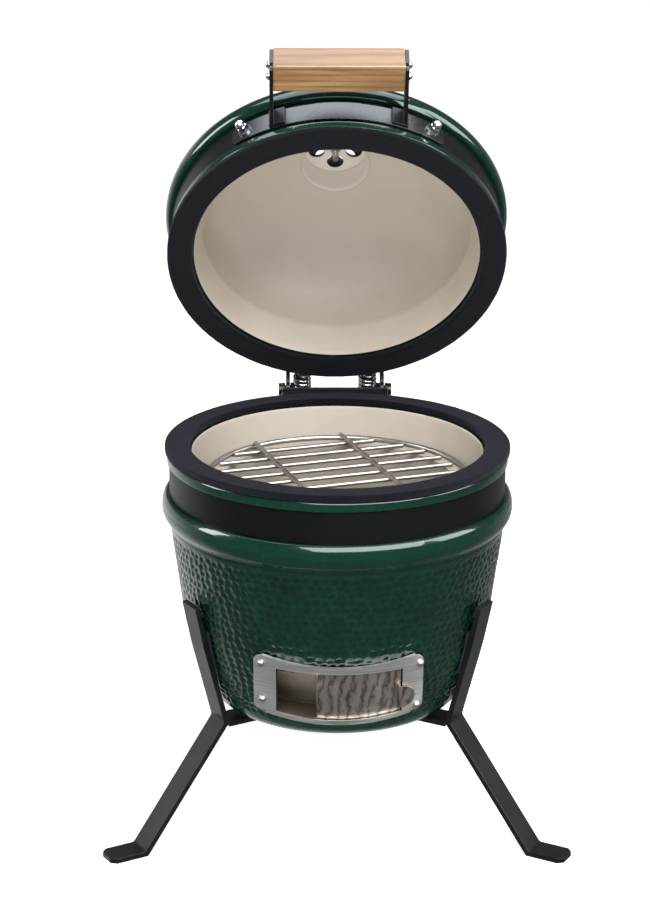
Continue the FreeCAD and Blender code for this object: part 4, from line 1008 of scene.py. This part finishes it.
def area_light(name, place, aim, width, height, power, color=(1, 1, 1), glossy=True, diffuse=True):
    light = bpy.data.lights.new(name, "AREA")
    light.shape = "RECTANGLE"
    light.size = width
    light.size_y = height
    light.energy = power
    light.color = color
    holder = bpy.data.objects.new(name, light)
    bpy.context.scene.collection.objects.link(holder)
    holder.location = place
    holder.rotation_euler = (Vector(aim) - Vector(place)).to_track_quat("-Z", "Y").to_euler()
    holder.visible_glossy = glossy
    holder.visible_diffuse = diffuse
    return holder


def around(azimuth, elevation, distance, aim=(0, -0.1, 0.35)):
    """A place seen from the object at an azimuth from the front, positive to the right."""
    a, e = math.radians(azimuth), math.radians(elevation)
    return (aim[0] + distance * math.sin(a) * math.cos(e), aim[1] - distance * math.cos(a) * math.cos(e),
            aim[2] + distance * math.sin(e))


def world_light():
    """White studio: white to the eye, dim in reflections but for a low sweep behind, brighter left."""
    world = bpy.data.worlds.new("studio")
    bpy.context.scene.world = world
    world.use_nodes = True
    tree = world.node_tree
    ground = tree.nodes["Background"]
    coords = tree.nodes.new("ShaderNodeTexCoord")
    split = tree.nodes.new("ShaderNodeSeparateXYZ")
    tree.links.new(coords.outputs["Generated"], split.inputs[0])

    def ramp_of(axis, start, stop, low, high):
        made = tree.nodes.new("ShaderNodeMapRange")
        for key, value in (("From Min", start), ("From Max", stop), ("To Min", low), ("To Max", high)):
            made.inputs[key].default_value = value
        tree.links.new(split.outputs[axis], made.inputs["Value"])
        return made.outputs["Result"]

    def times(first, second):
        made = tree.nodes.new("ShaderNodeMath")
        made.operation = "MULTIPLY"
        tree.links.new(first, made.inputs[0])
        tree.links.new(second, made.inputs[1])
        return made.outputs[0]

    behind = times(ramp_of("Y", -0.1, 0.6, 0.0, 0.62), ramp_of("Z", 0.10, 0.30, 1.0, 0.12))
    behind = times(behind, ramp_of("X", -0.5, 0.5, 1.45, 0.45))
    upper = ramp_of("Z", -0.35, 0.45, 0.17, 0.11)
    most = tree.nodes.new("ShaderNodeMath")
    most.operation = "MAXIMUM"
    tree.links.new(behind, most.inputs[0])
    tree.links.new(upper, most.inputs[1])
    rays = tree.nodes.new("ShaderNodeLightPath")
    seen = tree.nodes.new("ShaderNodeMix")
    tree.links.new(rays.outputs["Is Camera Ray"], seen.inputs[0])
    tree.links.new(most.outputs[0], seen.inputs[2])
    seen.inputs[3].default_value = 1.0
    ground.inputs["Color"].default_value = (0.97, 0.985, 1.0, 1)
    tree.links.new(seen.outputs[0], ground.inputs["Strength"])


# The view of the photo: place in metres, angles in radians, focal length and sensor in mm.
CAMERA_PLACE = (-0.0380, -2.4213, 1.1274)
CAMERA_YAW, CAMERA_PITCH, CAMERA_ROLL = 0.011, 0.309, 0.004
CAMERA_LENS, CAMERA_SENSOR = 104.19, 36


def camera():
    yaw, pitch, roll = CAMERA_YAW, CAMERA_PITCH, CAMERA_ROLL
    ahead = Vector((math.sin(yaw) * math.cos(pitch), math.cos(yaw) * math.cos(pitch), -math.sin(pitch)))
    right = Vector((math.cos(yaw), -math.sin(yaw), 0))
    up = right.cross(ahead)
    right, up = (math.cos(roll) * right + math.sin(roll) * up, math.cos(roll) * up - math.sin(roll) * right)
    made = bpy.data.cameras.new("camera")
    made.sensor_fit = "VERTICAL"
    made.sensor_height = CAMERA_SENSOR
    made.lens = CAMERA_LENS
    holder = bpy.data.objects.new("camera", made)
    bpy.context.scene.collection.objects.link(holder)
    turn = Matrix((right, up, -ahead)).transposed().to_4x4()
    turn.translation = Vector(CAMERA_PLACE)
    holder.matrix_world = turn
    bpy.context.scene.camera = holder


stage_floor()
world_light()
camera()
area_light("key_soft", around(10, 58, 3.2), (0, 0, 0.35), 2.4, 1.8, 125, (1, 0.985, 0.96), glossy=False)
area_light("fill_front", around(-20, 12, 3.4), (0, 0, 0.4), 2.6, 1.6, 17, (1, 0.99, 0.98), glossy=False)
area_light("card_front", around(20, 38, 3.0), (0, -0.1, 0.4), 4.2, 2.3, 350, (0.86, 0.93, 1.0), diffuse=False)
area_light("card_right", around(84, 30, 3.0), (0, -0.1, 0.4), 1.6, 1.8, 90, (0.86, 0.93, 1.0), diffuse=False)
area_light("card_left", around(-92, 22, 3.0), (0, -0.1, 0.4), 0.8, 1.7, 60, (0.9, 0.95, 1.0), diffuse=False)
area_light("card_top", around(-172, 78, 2.6), (0, -0.1, 0.6), 3.2, 2.2, 105, (0.86, 0.92, 1.0),
           diffuse=False)
bpy.context.scene.view_settings.view_transform = "Standard"
